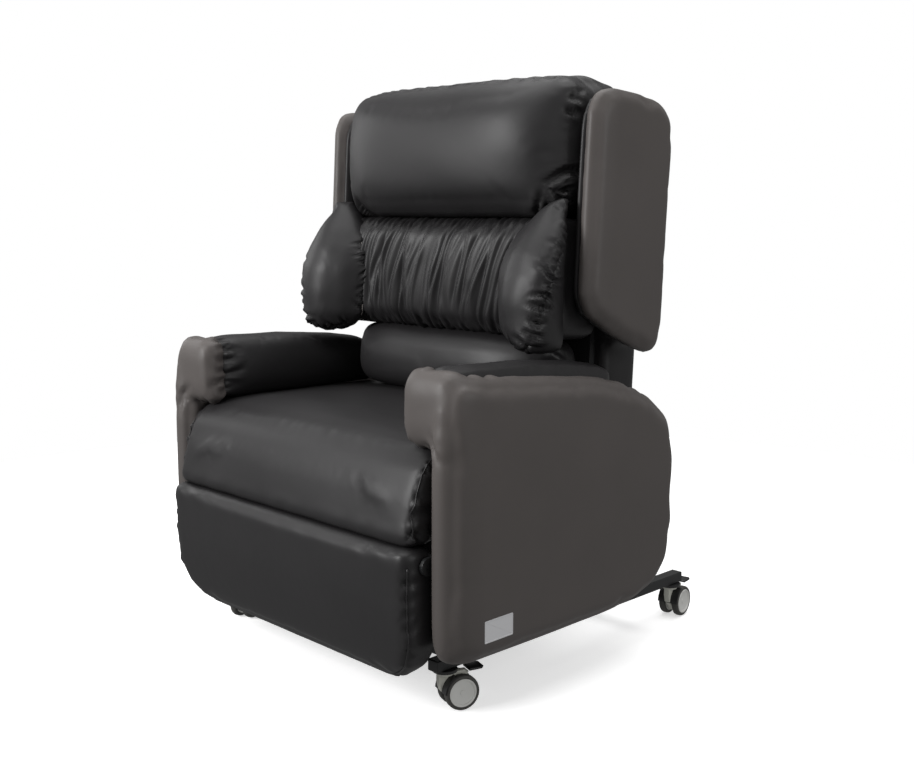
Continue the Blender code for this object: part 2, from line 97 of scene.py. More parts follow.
def lean_back(mesh):
    """Lean a mesh that was modelled upright."""
    mesh.transform(Matrix.Translation(HINGE) @ Matrix.Rotation(-LEAN, 4, "X") @ Matrix.Translation(-HINGE))


def leaned(point):
    """A point of the upright back, leaned with it."""
    return Matrix.Translation(HINGE) @ Matrix.Rotation(-LEAN, 4, "X") @ (Vector(point) - HINGE)


# ----------------------------------------------------------------- materials

def linear(code):
    """An sRGB hex colour as the linear RGBA that a shader takes."""
    parts = [int(code[i:i + 2], 16) / 255 for i in (1, 3, 5)]
    return [c / 12.92 if c <= 0.04045 else ((c + 0.055) / 1.055) ** 2.4 for c in parts] + [1.0]


def add_node(tree, kind, settings=None, links=None):
    """Add a node, set its properties and sockets, and link its inputs."""
    node = tree.nodes.new(kind)
    for key, value in (settings or {}).items():
        if isinstance(key, int) or key in node.inputs:
            node.inputs[key].default_value = value
        else:
            setattr(node, key, value)
    for key, source in (links or {}).items():
        tree.links.new(source, node.inputs[key])
    return node


def new_material(name, settings):
    """A material whose shader starts from the given sockets."""
    material = bpy.data.materials.new(name)
    material.use_nodes = True
    tree = material.node_tree
    shader = tree.nodes["Principled BSDF"]
    for key, value in settings.items():
        shader.inputs[key].default_value = value
    return material, tree, shader


def coated_fabric(name, colour, tint, roughness, grain_mm=1.6):
    """Polyurethane-coated knit: a soft matte film with a fine embossed pebble and a broad sheen."""
    material, tree, shader = new_material(name, {
        "IOR": 1.48, "Specular IOR Level": 0.36, "Coat Weight": 0.03, "Coat Roughness": 0.3})
    place = add_node(tree, "ShaderNodeTexCoord").outputs["Object"]
    # Slow drift of colour and gloss, as the film's wear and stretch give.
    drift = add_node(tree, "ShaderNodeTexNoise", {"Scale": 5.0, "Detail": 3.0, "Roughness": 0.55}, {"Vector": place})
    shade = add_node(tree, "ShaderNodeMix", {"data_type": "RGBA", 6: linear(colour), 7: linear(tint)},
                     {0: drift.outputs["Fac"]})
    tree.links.new(shade.outputs[2], shader.inputs["Base Color"])
    gloss = add_node(tree, "ShaderNodeMapRange", {"To Min": roughness - 0.05, "To Max": roughness + 0.06},
                     {"Value": drift.outputs["Fac"]})
    tree.links.new(gloss.outputs["Result"], shader.inputs["Roughness"])
    # The embossed pebble, and the slight dimpling of the foam under the cover.
    pebble = add_node(tree, "ShaderNodeTexVoronoi", {"feature": "F1", "Scale": 1 / (grain_mm * MM)}, {"Vector": place})
    dimple = add_node(tree, "ShaderNodeTexNoise", {"Scale": 38.0, "Detail": 2.0}, {"Vector": place})
    soft = add_node(tree, "ShaderNodeBump", {"Strength": 0.25, "Distance": 1.2 * MM}, {"Height": dimple.outputs["Fac"]})
    bump = add_node(tree, "ShaderNodeBump", {"Strength": 0.22, "Distance": 0.22 * MM},
                    {"Height": pebble.outputs["Distance"], "Normal": soft.outputs["Normal"]})
    tree.links.new(bump.outputs["Normal"], shader.inputs["Normal"])
    return material


def moulded_plastic(name, colour, tint, roughness, texture_mm=0.9):
    """Injection-moulded nylon: one colour with a fine spark-eroded texture and slight flow marks."""
    material, tree, shader = new_material(name, {"IOR": 1.53})
    place = add_node(tree, "ShaderNodeTexCoord").outputs["Object"]
    flow = add_node(tree, "ShaderNodeTexNoise", {"Scale": 30.0, "Detail": 4.0}, {"Vector": place})
    shade = add_node(tree, "ShaderNodeMix", {"data_type": "RGBA", 6: linear(colour), 7: linear(tint)},
                     {0: flow.outputs["Fac"]})
    tree.links.new(shade.outputs[2], shader.inputs["Base Color"])
    gloss = add_node(tree, "ShaderNodeMapRange", {"To Min": roughness - 0.06, "To Max": roughness + 0.08},
                     {"Value": flow.outputs["Fac"]})
    tree.links.new(gloss.outputs["Result"], shader.inputs["Roughness"])
    spark = add_node(tree, "ShaderNodeTexNoise", {"Scale": 1 / (texture_mm * MM), "Detail": 2.0}, {"Vector": place})
    bump = add_node(tree, "ShaderNodeBump", {"Strength": 0.15, "Distance": 0.08 * MM}, {"Height": spark.outputs["Fac"]})
    tree.links.new(bump.outputs["Normal"], shader.inputs["Normal"])
    return material


def powder_coat(name, colour):
    """Powder-coated steel: orange peel a few millimetres across under a satin skin."""
    material, tree, shader = new_material(name, {"Base Color": linear(colour), "IOR": 1.5})
    place = add_node(tree, "ShaderNodeTexCoord").outputs["Object"]
    peel = add_node(tree, "ShaderNodeTexNoise", {"Scale": 420.0, "Detail": 2.0}, {"Vector": place})
    wear = add_node(tree, "ShaderNodeTexNoise", {"Scale": 14.0, "Detail": 5.0}, {"Vector": place})
    gloss = add_node(tree, "ShaderNodeMapRange", {"To Min": 0.30, "To Max": 0.52}, {"Value": wear.outputs["Fac"]})
    tree.links.new(gloss.outputs["Result"], shader.inputs["Roughness"])
    bump = add_node(tree, "ShaderNodeBump", {"Strength": 0.2, "Distance": 0.15 * MM}, {"Height": peel.outputs["Fac"]})
    tree.links.new(bump.outputs["Normal"], shader.inputs["Normal"])
    return material


def drawn_metal(name, colour, roughness, axis_scale, metallic=1.0):
    """Ground or brushed metal: fine lines along one direction vary the gloss."""
    material, tree, shader = new_material(name, {"Base Color": linear(colour), "Metallic": metallic})
    place = add_node(tree, "ShaderNodeTexCoord").outputs["Object"]
    stretch = add_node(tree, "ShaderNodeMapping", {"Scale": axis_scale}, {"Vector": place})
    lines = add_node(tree, "ShaderNodeTexNoise", {"Scale": 60.0, "Detail": 4.0}, {"Vector": stretch.outputs["Vector"]})
    gloss = add_node(tree, "ShaderNodeMapRange", {"To Min": roughness - 0.08, "To Max": roughness + 0.12},
                     {"Value": lines.outputs["Fac"]})
    tree.links.new(gloss.outputs["Result"], shader.inputs["Roughness"])
    bump = add_node(tree, "ShaderNodeBump", {"Strength": 0.12, "Distance": 0.05 * MM}, {"Height": lines.outputs["Fac"]})
    tree.links.new(bump.outputs["Normal"], shader.inputs["Normal"])
    return material


def lining_cloth(name):
    """Spun-bonded polypropylene lining: black, dull, with a regular grid of bonding dots."""
    material, tree, shader = new_material(name, {"Base Color": linear("#141415"), "Roughness": 0.9})
    place = add_node(tree, "ShaderNodeTexCoord").outputs["Object"]
    dots = add_node(tree, "ShaderNodeTexVoronoi", {"Scale": 1 / (2.2 * MM), "Randomness": 0.1}, {"Vector": place})
    bump = add_node(tree, "ShaderNodeBump", {"Strength": 0.4, "Distance": 0.2 * MM},
                    {"Height": dots.outputs["Distance"]})
    tree.links.new(bump.outputs["Normal"], shader.inputs["Normal"])
    return material


# --------------------------------------------------------------- soft shapes

def add_slab(bm, outline, x_low, x_high, inset=0.0):
    """An outline in (y, z), drawn in by inset all round, extruded across the chair."""
    face = bm.faces.new([bm.verts.new((x_low + inset, y, z)) for y, z in outline])
    if inset:
        face.normal_update()
        rim = bmesh.ops.inset_region(bm, faces=[face], thickness=inset, use_even_offset=True, use_boundary=True)
        bmesh.ops.delete(bm, geom=rim["faces"], context="FACES")
    grown = bmesh.ops.extrude_face_region(bm, geom=[face], use_keep_orig=True)
    moved = [v for v in grown["geom"] if isinstance(v, bmesh.types.BMVert)]
    bmesh.ops.translate(bm, verts=moved, vec=(x_high - x_low - 2 * inset, 0, 0))
    bmesh.ops.recalc_face_normals(bm, faces=bm.faces)


def add_box(bm, low, high, inset=0.0):
    """A block between two corners, drawn in by inset all round."""
    grown = bmesh.ops.create_cube(bm, size=1.0)
    size = [h - l - 2 * inset for l, h in zip(low, high)]
    middle = [(h + l) / 2 for l, h in zip(low, high)]
    bmesh.ops.scale(bm, verts=grown["verts"], vec=size)
    bmesh.ops.translate(bm, verts=grown["verts"], vec=middle)


def ring_of(bm, points):
    """The edges of a closed ring through points, for a loft."""
    ring = [bm.verts.new(point) for point in points]
    return [bm.edges.new(pair) for pair in zip(ring, ring[1:] + ring[:1])]


def close_loft(bm, loops):
    """Bridge rings in order and cap both ends."""
    for first, second in zip(loops, loops[1:]):
        bmesh.ops.bridge_loops(bm, edges=first + second)
    bmesh.ops.holes_fill(bm, edges=loops[0] + loops[-1], sides=0)
    bmesh.ops.recalc_face_normals(bm, faces=bm.faces)


def cut_away(bm, place_at, out):
    """Cut off all that lies beyond a plane, and close the cut."""
    cut = bmesh.ops.bisect_plane(bm, geom=bm.verts[:] + bm.edges[:] + bm.faces[:], plane_co=place_at, plane_no=out,
                                 clear_outer=True)
    bmesh.ops.holes_fill(bm, edges=[e for e in cut["geom_cut"] if isinstance(e, bmesh.types.BMEdge)], sides=0)


def round_edges(bm, edges, offset, segments):
    bmesh.ops.bevel(bm, geom=edges, offset=offset, offset_type="OFFSET", segments=segments, profile=0.5,
                    affect="EDGES", material=-1)


def arc(centre, radius, start, end, steps):
    """Points along an arc in (y, z), angles in degrees from +Y."""
    angles = [math.radians(start + (end - start) * i / steps) for i in range(steps + 1)]
    return [(centre[0] + radius * math.cos(a), centre[1] + radius * math.sin(a)) for a in angles]


def finish_modifiers(mesh, stack):
    """Run a mesh through modifiers and return the result as a new mesh."""
    holder = bpy.data.objects.new("workpiece", mesh)
    bpy.context.scene.collection.objects.link(holder)
    for kind, settings in stack:
        modifier = holder.modifiers.new(kind.lower(), kind)
        for key, value in settings.items():
            setattr(modifier, key, value)
    bpy.context.view_layer.update()
    done = bpy.data.meshes.new_from_object(holder.evaluated_get(bpy.context.evaluated_depsgraph_get()))
    bpy.data.objects.remove(holder)
    return done


def mesh_from(bm, name):
    """A bmesh's mesh; the bmesh is used up."""
    mesh = bpy.data.meshes.new(name)
    bm.to_mesh(mesh)
    bm.free()
    return mesh


def skin(bm, voxel, grow, ease=4):
    """One even skin over overlapping solids, grown outwards so that its edges round off."""
    rough = mesh_from(bm, "rough")
    fine = min(voxel, DRAFT_VOXEL)
    return finish_modifiers(rough, [
        ("REMESH", {"mode": "VOXEL", "voxel_size": fine}),
        ("SMOOTH", {"factor": 0.5, "iterations": 3}),
        ("DISPLACE", {"strength": grow, "mid_level": 0.0, "direction": "NORMAL"}),
        ("REMESH", {"mode": "VOXEL", "voxel_size": voxel}),
        ("SMOOTH", {"factor": 0.5, "iterations": ease})])


# How the coated knit behaves as cloth: light, hard to stretch and easy to bend.
COATED_KNIT_CLOTH = {"quality": 3, "mass": 0.25, "tension_stiffness": 12, "compression_stiffness": 12,
                     "shear_stiffness": 4, "bending_stiffness": 0.6, "use_pressure": True}


def inflate(mesh, cap, pressure=FOAM_PRESSURE):
    """Blow the cover up from inside with a cloth simulation, and keep how far it swells outwards."""
    start, out = positions(mesh), normals(mesh)
    holder = bpy.data.objects.new("cover", mesh)
    scene = bpy.context.scene
    scene.collection.objects.link(holder)
    cloth = holder.modifiers.new("cover_cloth", "CLOTH")
    for key, value in {**COATED_KNIT_CLOTH, "uniform_pressure_force": pressure}.items():
        setattr(cloth.settings, key, value)
    cloth.settings.effector_weights.gravity = 0
    cloth.collision_settings.use_collision = False
    for step in range(1, CLOTH_STEPS + 1):
        scene.frame_set(step)
    blown = bpy.data.meshes.new_from_object(holder.evaluated_get(bpy.context.evaluated_depsgraph_get()))
    scene.frame_set(1)
    bpy.data.objects.remove(holder)
    swell = ((positions(blown) - start) * out).sum(axis=1)
    # A soft cap: the swell levels off as it nears the foam's limit, and the edges draw in a little.
    swell = np.where(swell > 0, 1.0, EDGE_DRAW) * cap * np.tanh(swell / cap)
    place(blown, start + out * swell[:, None])
    return blown


def broad_edge(across, inner, outer, depth):
    """How far a broadly rounded edge draws in: all of depth at the outer face, nothing at the inner."""
    return depth * np.clip((across - inner) / (outer - inner), 0, 1)


def mirrored(mesh):
    """The same cover for the other side of the chair."""
    twin = mesh.copy()
    twin.transform(Matrix.Scale(-1, 4, (1, 0, 0)))
    twin.flip_normals()
    return twin


def refine(mesh, levels=1):
    """Subdivide a cover smoothly."""
    return finish_modifiers(mesh, [("SUBSURF", {"levels": levels, "render_levels": levels})])


def positions(mesh):
    flat = np.empty(len(mesh.vertices) * 3, np.float32)
    mesh.vertices.foreach_get("co", flat)
    return flat.reshape(-1, 3).astype(float)


def normals(mesh):
    flat = np.empty(len(mesh.vertices) * 3, np.float32)
    mesh.vertex_normals.foreach_get("vector", flat)
    return flat.reshape(-1, 3).astype(float)


def place(mesh, points):
    """Put a mesh's vertices at points."""
    mesh.vertices.foreach_set("co", points.astype(np.float32).ravel())
    mesh.update()


def ramp(value, low, high):
    """A smooth rise from 0 at low to 1 at high."""
    t = np.clip((value - low) / (high - low), 0.0, 1.0)
    return t * t * (3 - 2 * t)


def dense(path, step=0.004):
    """A route's points, evenly filled in along a smooth curve through them."""
    route = [Vector(p) for p in path]
    out = []
    for i, (p1, p2) in enumerate(zip(route, route[1:])):
        p0 = route[i - 1] if i else p1
        p3 = route[i + 2] if i + 2 < len(route) else p2
        fill = max(1, int((p2 - p1).length / step))
        for k in range(fill):
            t = k / fill
            out.append(0.5 * (2 * p1 + (p2 - p0) * t + (2 * p0 - 5 * p1 + 4 * p2 - p3) * t * t
                              + (3 * p1 - p0 - 3 * p2 + p3) * t ** 3))
    return np.array(out + [route[-1]])


def nearest_on(points, route, reach):
    """Each point's distance to a dense route and its run along it; far points get infinity."""
    run = np.concatenate([[0.0], np.cumsum(np.linalg.norm(np.diff(route, axis=0), axis=1))])
    low, high = route.min(0) - reach, route.max(0) + reach
    close = np.nonzero(np.all((points >= low) & (points <= high), axis=1))[0]
    distance = np.full(len(points), np.inf)
    along = np.zeros(len(points))
    for part in np.array_split(close, max(1, len(close) // 4000)):
        if len(part):
            gaps = np.linalg.norm(points[part][:, None, :] - route[None], axis=2)
            best = gaps.argmin(1)
            distance[part] = gaps[np.arange(len(part)), best]
            along[part] = run[best]
    return distance, along


def sew(mesh, route, depth, width):
    """Pull the cover in along a seam."""
    points = positions(mesh)
    distance, _ = nearest_on(points, route, 3 * width)
    pull = np.where(np.isfinite(distance), np.exp(-(distance / width) ** 2), 0.0)
    place(mesh, points - normals(mesh) * (depth * pull)[:, None])


def gather(mesh, route, seed, reach, depth, spacing, width=0.35, slant=0.3, keep=None):
    """Short pinched folds that run off a seam, each with its own length, depth and slant."""
    points = positions(mesh)
    distance, along = nearest_on(points, route, reach)
    near = np.isfinite(distance) & (distance < reach)
    if keep is not None:
        near &= keep(points)
    dice = random.Random(seed)
    length = np.linalg.norm(np.diff(route, axis=0), axis=1).sum()
    lift = np.zeros(len(points))
    at = spacing * dice.uniform(0.2, 0.8)
    while at < length:
        own_reach = reach * dice.uniform(0.45, 1.0)
        own_depth = depth * dice.uniform(0.5, 1.2)
        own_width = spacing * width * dice.uniform(0.7, 1.25)
        own_slant = dice.uniform(-slant, slant)
        off = along[near] - at - own_slant * distance[near]
        fade = 1.0 - ramp(distance[near], 0.0, own_reach)
        spread = own_width * (1.0 + 0.9 * distance[near] / reach)
        valley = np.exp(-(off / spread) ** 2)
        crest = np.exp(-((np.abs(off) - 1.7 * spread) / spread) ** 2)
        lift[near] += own_depth * fade * (0.55 * crest - valley)
        at += spacing * dice.uniform(0.6, 1.5)
    place(mesh, points + normals(mesh) * lift[:, None])


def crumple(mesh, seed, depth, scale):
    """Shallow, wide unevenness, as wadding gives under a cover."""
    points = positions(mesh)
    dice = random.Random(seed)
    lift = np.zeros(len(points))
    for _ in range(WAVES):
        direction = np.array([dice.gauss(0, 1) for _ in range(3)])
        direction /= np.linalg.norm(direction)
        phase = dice.uniform(0, math.tau)
        lift += np.sin(points @ direction * math.tau / (scale * dice.uniform(0.7, 1.6)) + phase)
    lift *= depth / WAVES
    place(mesh, points + normals(mesh) * lift[:, None])


# -------------------------------------------------------------------- pieces

LOOKS = {}


def add_piece(name, mesh, look, body, slot, *nodes):
    """A finished mesh as a piece that rides on a body and stands for CAD nodes."""
    mesh.name = name
    piece = bpy.data.objects.new(name, mesh)
    bpy.context.scene.collection.objects.link(piece)
    mesh.materials.clear()
    mesh.materials.append(LOOKS[look])
    mesh.shade_smooth()
    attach(piece, body)
    if nodes:
        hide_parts(*nodes)
    return piece


def upholster(name, mesh, look, body, slot, nodes):
    """A padded piece: a cover over foam."""
    add_piece(name, mesh, look, body, slot, *nodes)


def seam_cord(name, mesh, route, radius, look, body, slot, proud=0.0):
    """A thin piping or stitched ridge that lies on a cover along a route."""
    cover = bmesh.new()
    cover.from_mesh(mesh)
    tree = BVHTree.FromBMesh(cover)
    cover.free()
    spots = []
    for point in route[::2]:
        spot, normal, _, _ = tree.find_nearest(Vector(point))
        spots.append(spot + normal * proud)
    bm = bmesh.new()
    sweep(bm, spots, radius)
    return add_piece(name, mesh_from(bm, name), look, body, slot)


def sweep(bm, spots, radius, sides=8):
    """A round tube along a route: a circle carried from spot to spot and bridged."""
    rings = []
    for i, spot in enumerate(spots):
        ahead = spots[min(i + 1, len(spots) - 1)]
        behind = spots[max(i - 1, 0)]
        heading = (ahead - behind).normalized()
        turn = heading.to_track_quat("Z", "Y").to_matrix().to_4x4()
        ring = bmesh.ops.create_circle(bm, segments=sides, radius=radius, cap_ends=False,
                                       matrix=Matrix.Translation(spot) @ turn)
        edges = {e for v in ring["verts"] for e in v.link_edges}
        rings.append(list(edges))
    close_loft(bm, rings)


# ------------------------------------------------------------ property group

class UpholsterySettings(bpy.types.PropertyGroup):
    black: bpy.props.StringProperty(
        name="Black cover", description="sRGB hex colour of the sitting surfaces", default="#1c1b1c")
    black_tint: bpy.props.StringProperty(
        name="Black cover, worn", description="sRGB hex colour where the film is stretched", default="#242324")
    grey: bpy.props.StringProperty(
        name="Grey cover", description="sRGB hex colour of the arm panels and wings", default="#4c4846")
    grey_tint: bpy.props.StringProperty(
        name="Grey cover, worn", description="sRGB hex colour where the film is stretched", default="#55504e")
    seat_crown: bpy.props.FloatProperty(
        name="Seat crown", description="Height of the seat cushion's crown over its CAD solid",
        default=0.022, unit="LENGTH")
    fold_depth: bpy.props.FloatProperty(
        name="Fold depth", description="Depth of the mid cushion's gathers", default=0.0075, unit="LENGTH")
    puff: bpy.props.FloatProperty(
        name="Puff", description="How far a cover may swell from its cut shape", default=0.016, unit="LENGTH")


class StageSettings(bpy.types.PropertyGroup):
    camera_place: bpy.props.FloatVectorProperty(
        name="Camera place", description="Where the camera stands", default=(1.992, -1.918, 1.005),
        subtype="TRANSLATION")
    camera_turn: bpy.props.FloatProperty(
        name="Camera turn", description="Heading, from +Y towards -X", default=math.radians(45.522), subtype="ANGLE")
    camera_dip: bpy.props.FloatProperty(
        name="Camera dip", description="Pitch below level", default=math.radians(8.677), subtype="ANGLE")
    lens: bpy.props.FloatProperty(name="Lens", description="Focal length in millimetres", default=45.52)
    sky: bpy.props.FloatProperty(name="Sky", description="Strength of the surround that lights the chair", default=0.28)
    floor_radius: bpy.props.FloatProperty(name="Floor radius", description="Radius of the round floor", default=2.6,
                                          unit="LENGTH")
    floor_glow: bpy.props.FloatProperty(name="Floor glow", description="How far the floor lights itself", default=0.55)
    floor: bpy.props.StringProperty(name="Floor", description="sRGB hex colour of the floor", default="#f4f4f4")


def upholstery():
    """The scene's upholstery settings."""
    return bpy.context.scene.recliner_upholstery


def new_operator(cls):
    """Give an operator the same undo option as the others."""
    cls.bl_options = {"REGISTER", "UNDO"}
    return cls


# ----------------------------------------------------------------- operators

@new_operator
class RECLINER_OT_finishes(bpy.types.Operator):
    """Make the chair's materials and give the frame's own nodes theirs"""
    bl_idname = "recliner.finishes"
    bl_label = "Finishes"

    def execute(self, context):
        colours = upholstery()
        LOOKS.update({
            "black_cover": coated_fabric("black_coated_knit", colours.black, colours.black_tint, 0.47),
            "grey_cover": coated_fabric("grey_coated_knit", colours.grey, colours.grey_tint, 0.50),
            "piping": coated_fabric("black_coated_piping", "#1c1b1c", "#232223", 0.42, 1.0),
            "thread": coated_fabric("grey_bonded_thread", "#5d5957", "#6a6663", 0.6, 0.6),
            "steel": powder_coat("black_powder_coat", "#1d1e1f"),
            "rod": drawn_metal("ground_chromed_steel", "#c6c8ca", 0.20, (1.0, 1.0, 1.0)),
            "label": drawn_metal("brushed_aluminium_foil", "#d2d2d4", 0.50, (1.0, 1.0, 14.0), 0.10),
            "lining": lining_cloth("spun_bonded_lining"),
            "castor_body": moulded_plastic("castor_body_nylon", "#cfcfc6", "#c4c4ba", 0.42),
            "wheel_disc": moulded_plastic("wheel_disc_nylon", "#dededb", "#d2d2ce", 0.38),
            "tread": moulded_plastic("grey_rubber_tread", "#3c3b39", "#454441", 0.62, 1.2),
            "black_plastic": moulded_plastic("black_moulded_nylon", "#1b1b1c", "#222223", 0.40),
        })
        by_slot = {"frame_steel": "steel", "board_lining": "lining", "spring_steel": "rod",
                   "black_plastic": "black_plastic", "castor_grey": "castor_body",
                   "wheel_plastic": "wheel_disc", "label_foil": "label",
                   "black_vinyl": "black_cover", "grey_vinyl": "grey_cover"}
        for row in frame["record"]["subparts"]:
            node = frame["nodes"][row["node"]]
            node.data.materials.clear()
            node.data.materials.append(LOOKS[by_slot[row["material_slot"]]])
        return {"FINISHED"}


@new_operator
class RECLINER_OT_seat(bpy.types.Operator):
    """Make the seat cushion: crowned, with a rolled front edge and side gussets"""
    bl_idname = "recliner.seat"
    bl_label = "Seat cushion"

    def execute(self, context):
        sizes = upholstery()
        (x0, y0, z0), (x1, y1, z1) = rest_box("seat_cushion")
        outline = [(y1 - 0.002, z0 - 0.002), (y1 - 0.002, z1 - 0.004), (y0 + 0.110, z1 - 0.002),
                   (y0 + 0.062, z1 - 0.010), (y0 + 0.034, z1 - 0.036), (y0 + 0.012, z1 - 0.090),
                   (y0 - 0.004, z1 - 0.150), (y0 - 0.010, z0 + 0.016), (y0 - 0.010, z0 - 0.007),
                   (y0 + 0.060, z0 - 0.006), (y0 + 0.080, z0 - 0.002)]
        bm = bmesh.new()
        add_slab(bm, outline, x0, x1, SEAT_ROLL)
        mesh = refine(inflate(skin(bm, 0.010, SEAT_ROLL), 0.004))
        points = positions(mesh)
        # The crown rises over the middle of the top; the underside stays flat on its board.
        top = ramp(points[:, 2], z1 - 0.10, z1 - 0.01)
        across = np.clip(1.0 - (points[:, 0] / (x1 + 0.01)) ** 2, 0, 1) ** 0.8
        points[:, 2] += sizes.seat_crown * top * across * ramp(points[:, 1], y0 + 0.005, y0 + 0.20)
        # The front face bellies out a little between its corners.
        face = 1.0 - ramp(points[:, 1], y0, y0 + 0.10)
        points[:, 1] -= 0.006 * face * across * np.sin(np.clip((points[:, 2] - z0) / (z1 - z0), 0, 1) * math.pi)
        points[:, 2] = np.maximum(points[:, 2], z0 - 0.007)
        place(mesh, points)
        crumple(mesh, 3, 0.0012, 0.24)
        for name, side in SIDES.items():
            rim = side * (x1 - 0.003)
            edge = dense([(rim, y0 + 0.006, z0 + 0.012), (rim, y0 + 0.006, z1 - 0.13), (rim, y0 + 0.030, z1 - 0.045),
                          (rim, y0 + 0.070, z1 - 0.010), (rim, y0 + 0.16, z1 - 0.002), (rim, y1 - 0.03, z1 - 0.004)])
            sew(mesh, edge, 0.0030, 0.006)
            gather(mesh, edge, 11 + side, 0.100, 0.0060, 0.036, 0.26, 0.8,
                   keep=lambda p, s=side: s * p[:, 0] > x1 - 0.012)
            foot = dense([(rim, y0 + 0.01, z0 + 0.010), (rim, y0 + 0.20, z0 + 0.010)])
            gather(mesh, foot, 15 + side, 0.070, 0.0045, 0.030, 0.26, 0.8,
                   keep=lambda p, s=side: s * p[:, 0] > x1 - 0.012)
            seam_cord(f"seat_gusset_seam_{name}", mesh, edge, 0.0016, "piping", "seat", "black_vinyl")
        hem = dense([(x0 + 0.02, y0, z0 + 0.012), (x1 - 0.02, y0, z0 + 0.012)])
        sew(mesh, hem, 0.0020, 0.005)
        gather(mesh, hem, 18, 0.045, 0.0008, 0.070, 0.3, 0.8)
        upholster("seat_cushion_cover", mesh, "black_cover", "seat", "black_vinyl", ["seat_cushion"])
        return {"FINISHED"}


@new_operator
class RECLINER_OT_legrest(bpy.types.Operator):
    """Make the leg rest: a curved pad with cut lower corners and piped edges"""
    bl_idname = "recliner.legrest"
    bl_label = "Leg rest"

    def execute(self, context):
        (x0, y0, z0), (x1, y1, z1) = rest_box("legrest_cushion")
        hinge = JOINTS["legrest_lift"]["pos_m"]
        outline = arc((hinge[1], hinge[2]), z1 - hinge[2] - 0.0005, 0, 100, 8)
        outline += [(y0 + 0.009, z1 + 0.001), (y0 - 0.002, z1 - 0.004), (y0 - 0.001, 0.290),
                    (y0, 0.250), (y0 + 0.005, 0.196), (y0 + 0.018, 0.134), (y0 + 0.034, z0 + 0.014),
                    (y0 + 0.048, z0 - 0.003), (y0 + 0.060, z0 - 0.004), (y0 + 0.068, z0 + 0.014), (y0 + 0.068, 0.290)]
        bm = bmesh.new()
        add_slab(bm, outline, x0 - 0.006, x1 + 0.006, LEGREST_ROLL)
        wrap = [(y0 + 0.030, 0.330), (y0 + 0.030, 0.120), (y0 + 0.055, z0 + 0.010), (y0 + 0.094, z0 + 0.030),
                (y0 + 0.094, 0.330)]
        add_slab(bm, wrap, x1 - 0.066, x1 + 0.006, LEGREST_ROLL)
        add_slab(bm, wrap, x0 - 0.006, x0 + 0.066, LEGREST_ROLL)
        for side in SIDES.values():
            for x, z, angle in ((x1 + 0.003, 0.166, 62), (x1 - 0.032, 0.112, 42), (x1 - 0.100, 0.074, 22)):
                out = Vector((side * math.sin(math.radians(angle)), 0, -math.cos(math.radians(angle))))
                cut_away(bm, Vector((side * x, 0, z)) - out * LEGREST_ROLL, out)
        mesh = refine(inflate(skin(bm, 0.0095, LEGREST_ROLL), 0.006))
        rim = [(x1 + 0.001, y0 + 0.005, 0.336), (x1 + 0.001, y0 + 0.003, 0.29), (x1 + 0.001, y0 + 0.004, 0.23),
               (x1 - 0.003, y0 + 0.010, 0.180), (x1 - 0.036, y0 + 0.026, 0.124), (x1 - 0.080, y0 + 0.040, 0.094),
               (x1 - 0.130, y0 + 0.046, 0.084)]
        edge = dense([(x, y, z) for x, y, z in rim] + [(-x, y, z) for x, y, z in rim[::-1]])
        sew(mesh, edge, 0.0026, 0.006)
        crumple(mesh, 5, 0.0012, 0.25)
        gather(mesh, edge, 23, 0.055, 0.0036, 0.036, 0.26, 0.6, keep=lambda p: np.abs(p[:, 0]) > x1 - 0.010)
        head = dense([(x0 + 0.02, y0 + 0.006, z1 - 0.022), (x1 - 0.02, y0 + 0.006, z1 - 0.022)])
        gather(mesh, head, 25, 0.050, 0.0010, 0.080, 0.3, 0.8)
        seam_cord("legrest_piping", mesh, edge, 0.0021, "piping", "legrest", "black_vinyl", 0.0006)
        upholster("legrest_cover", mesh, "black_cover", "legrest", "black_vinyl", ["legrest_cushion"])
        return {"FINISHED"}


def pillow(low, high, roll, voxel, cap, levels=1):
    """A rolled cushion: a block grown from its core, then blown up."""
    bm = bmesh.new()
    add_box(bm, low, high, roll)
    return refine(inflate(skin(bm, voxel, roll), cap), levels)


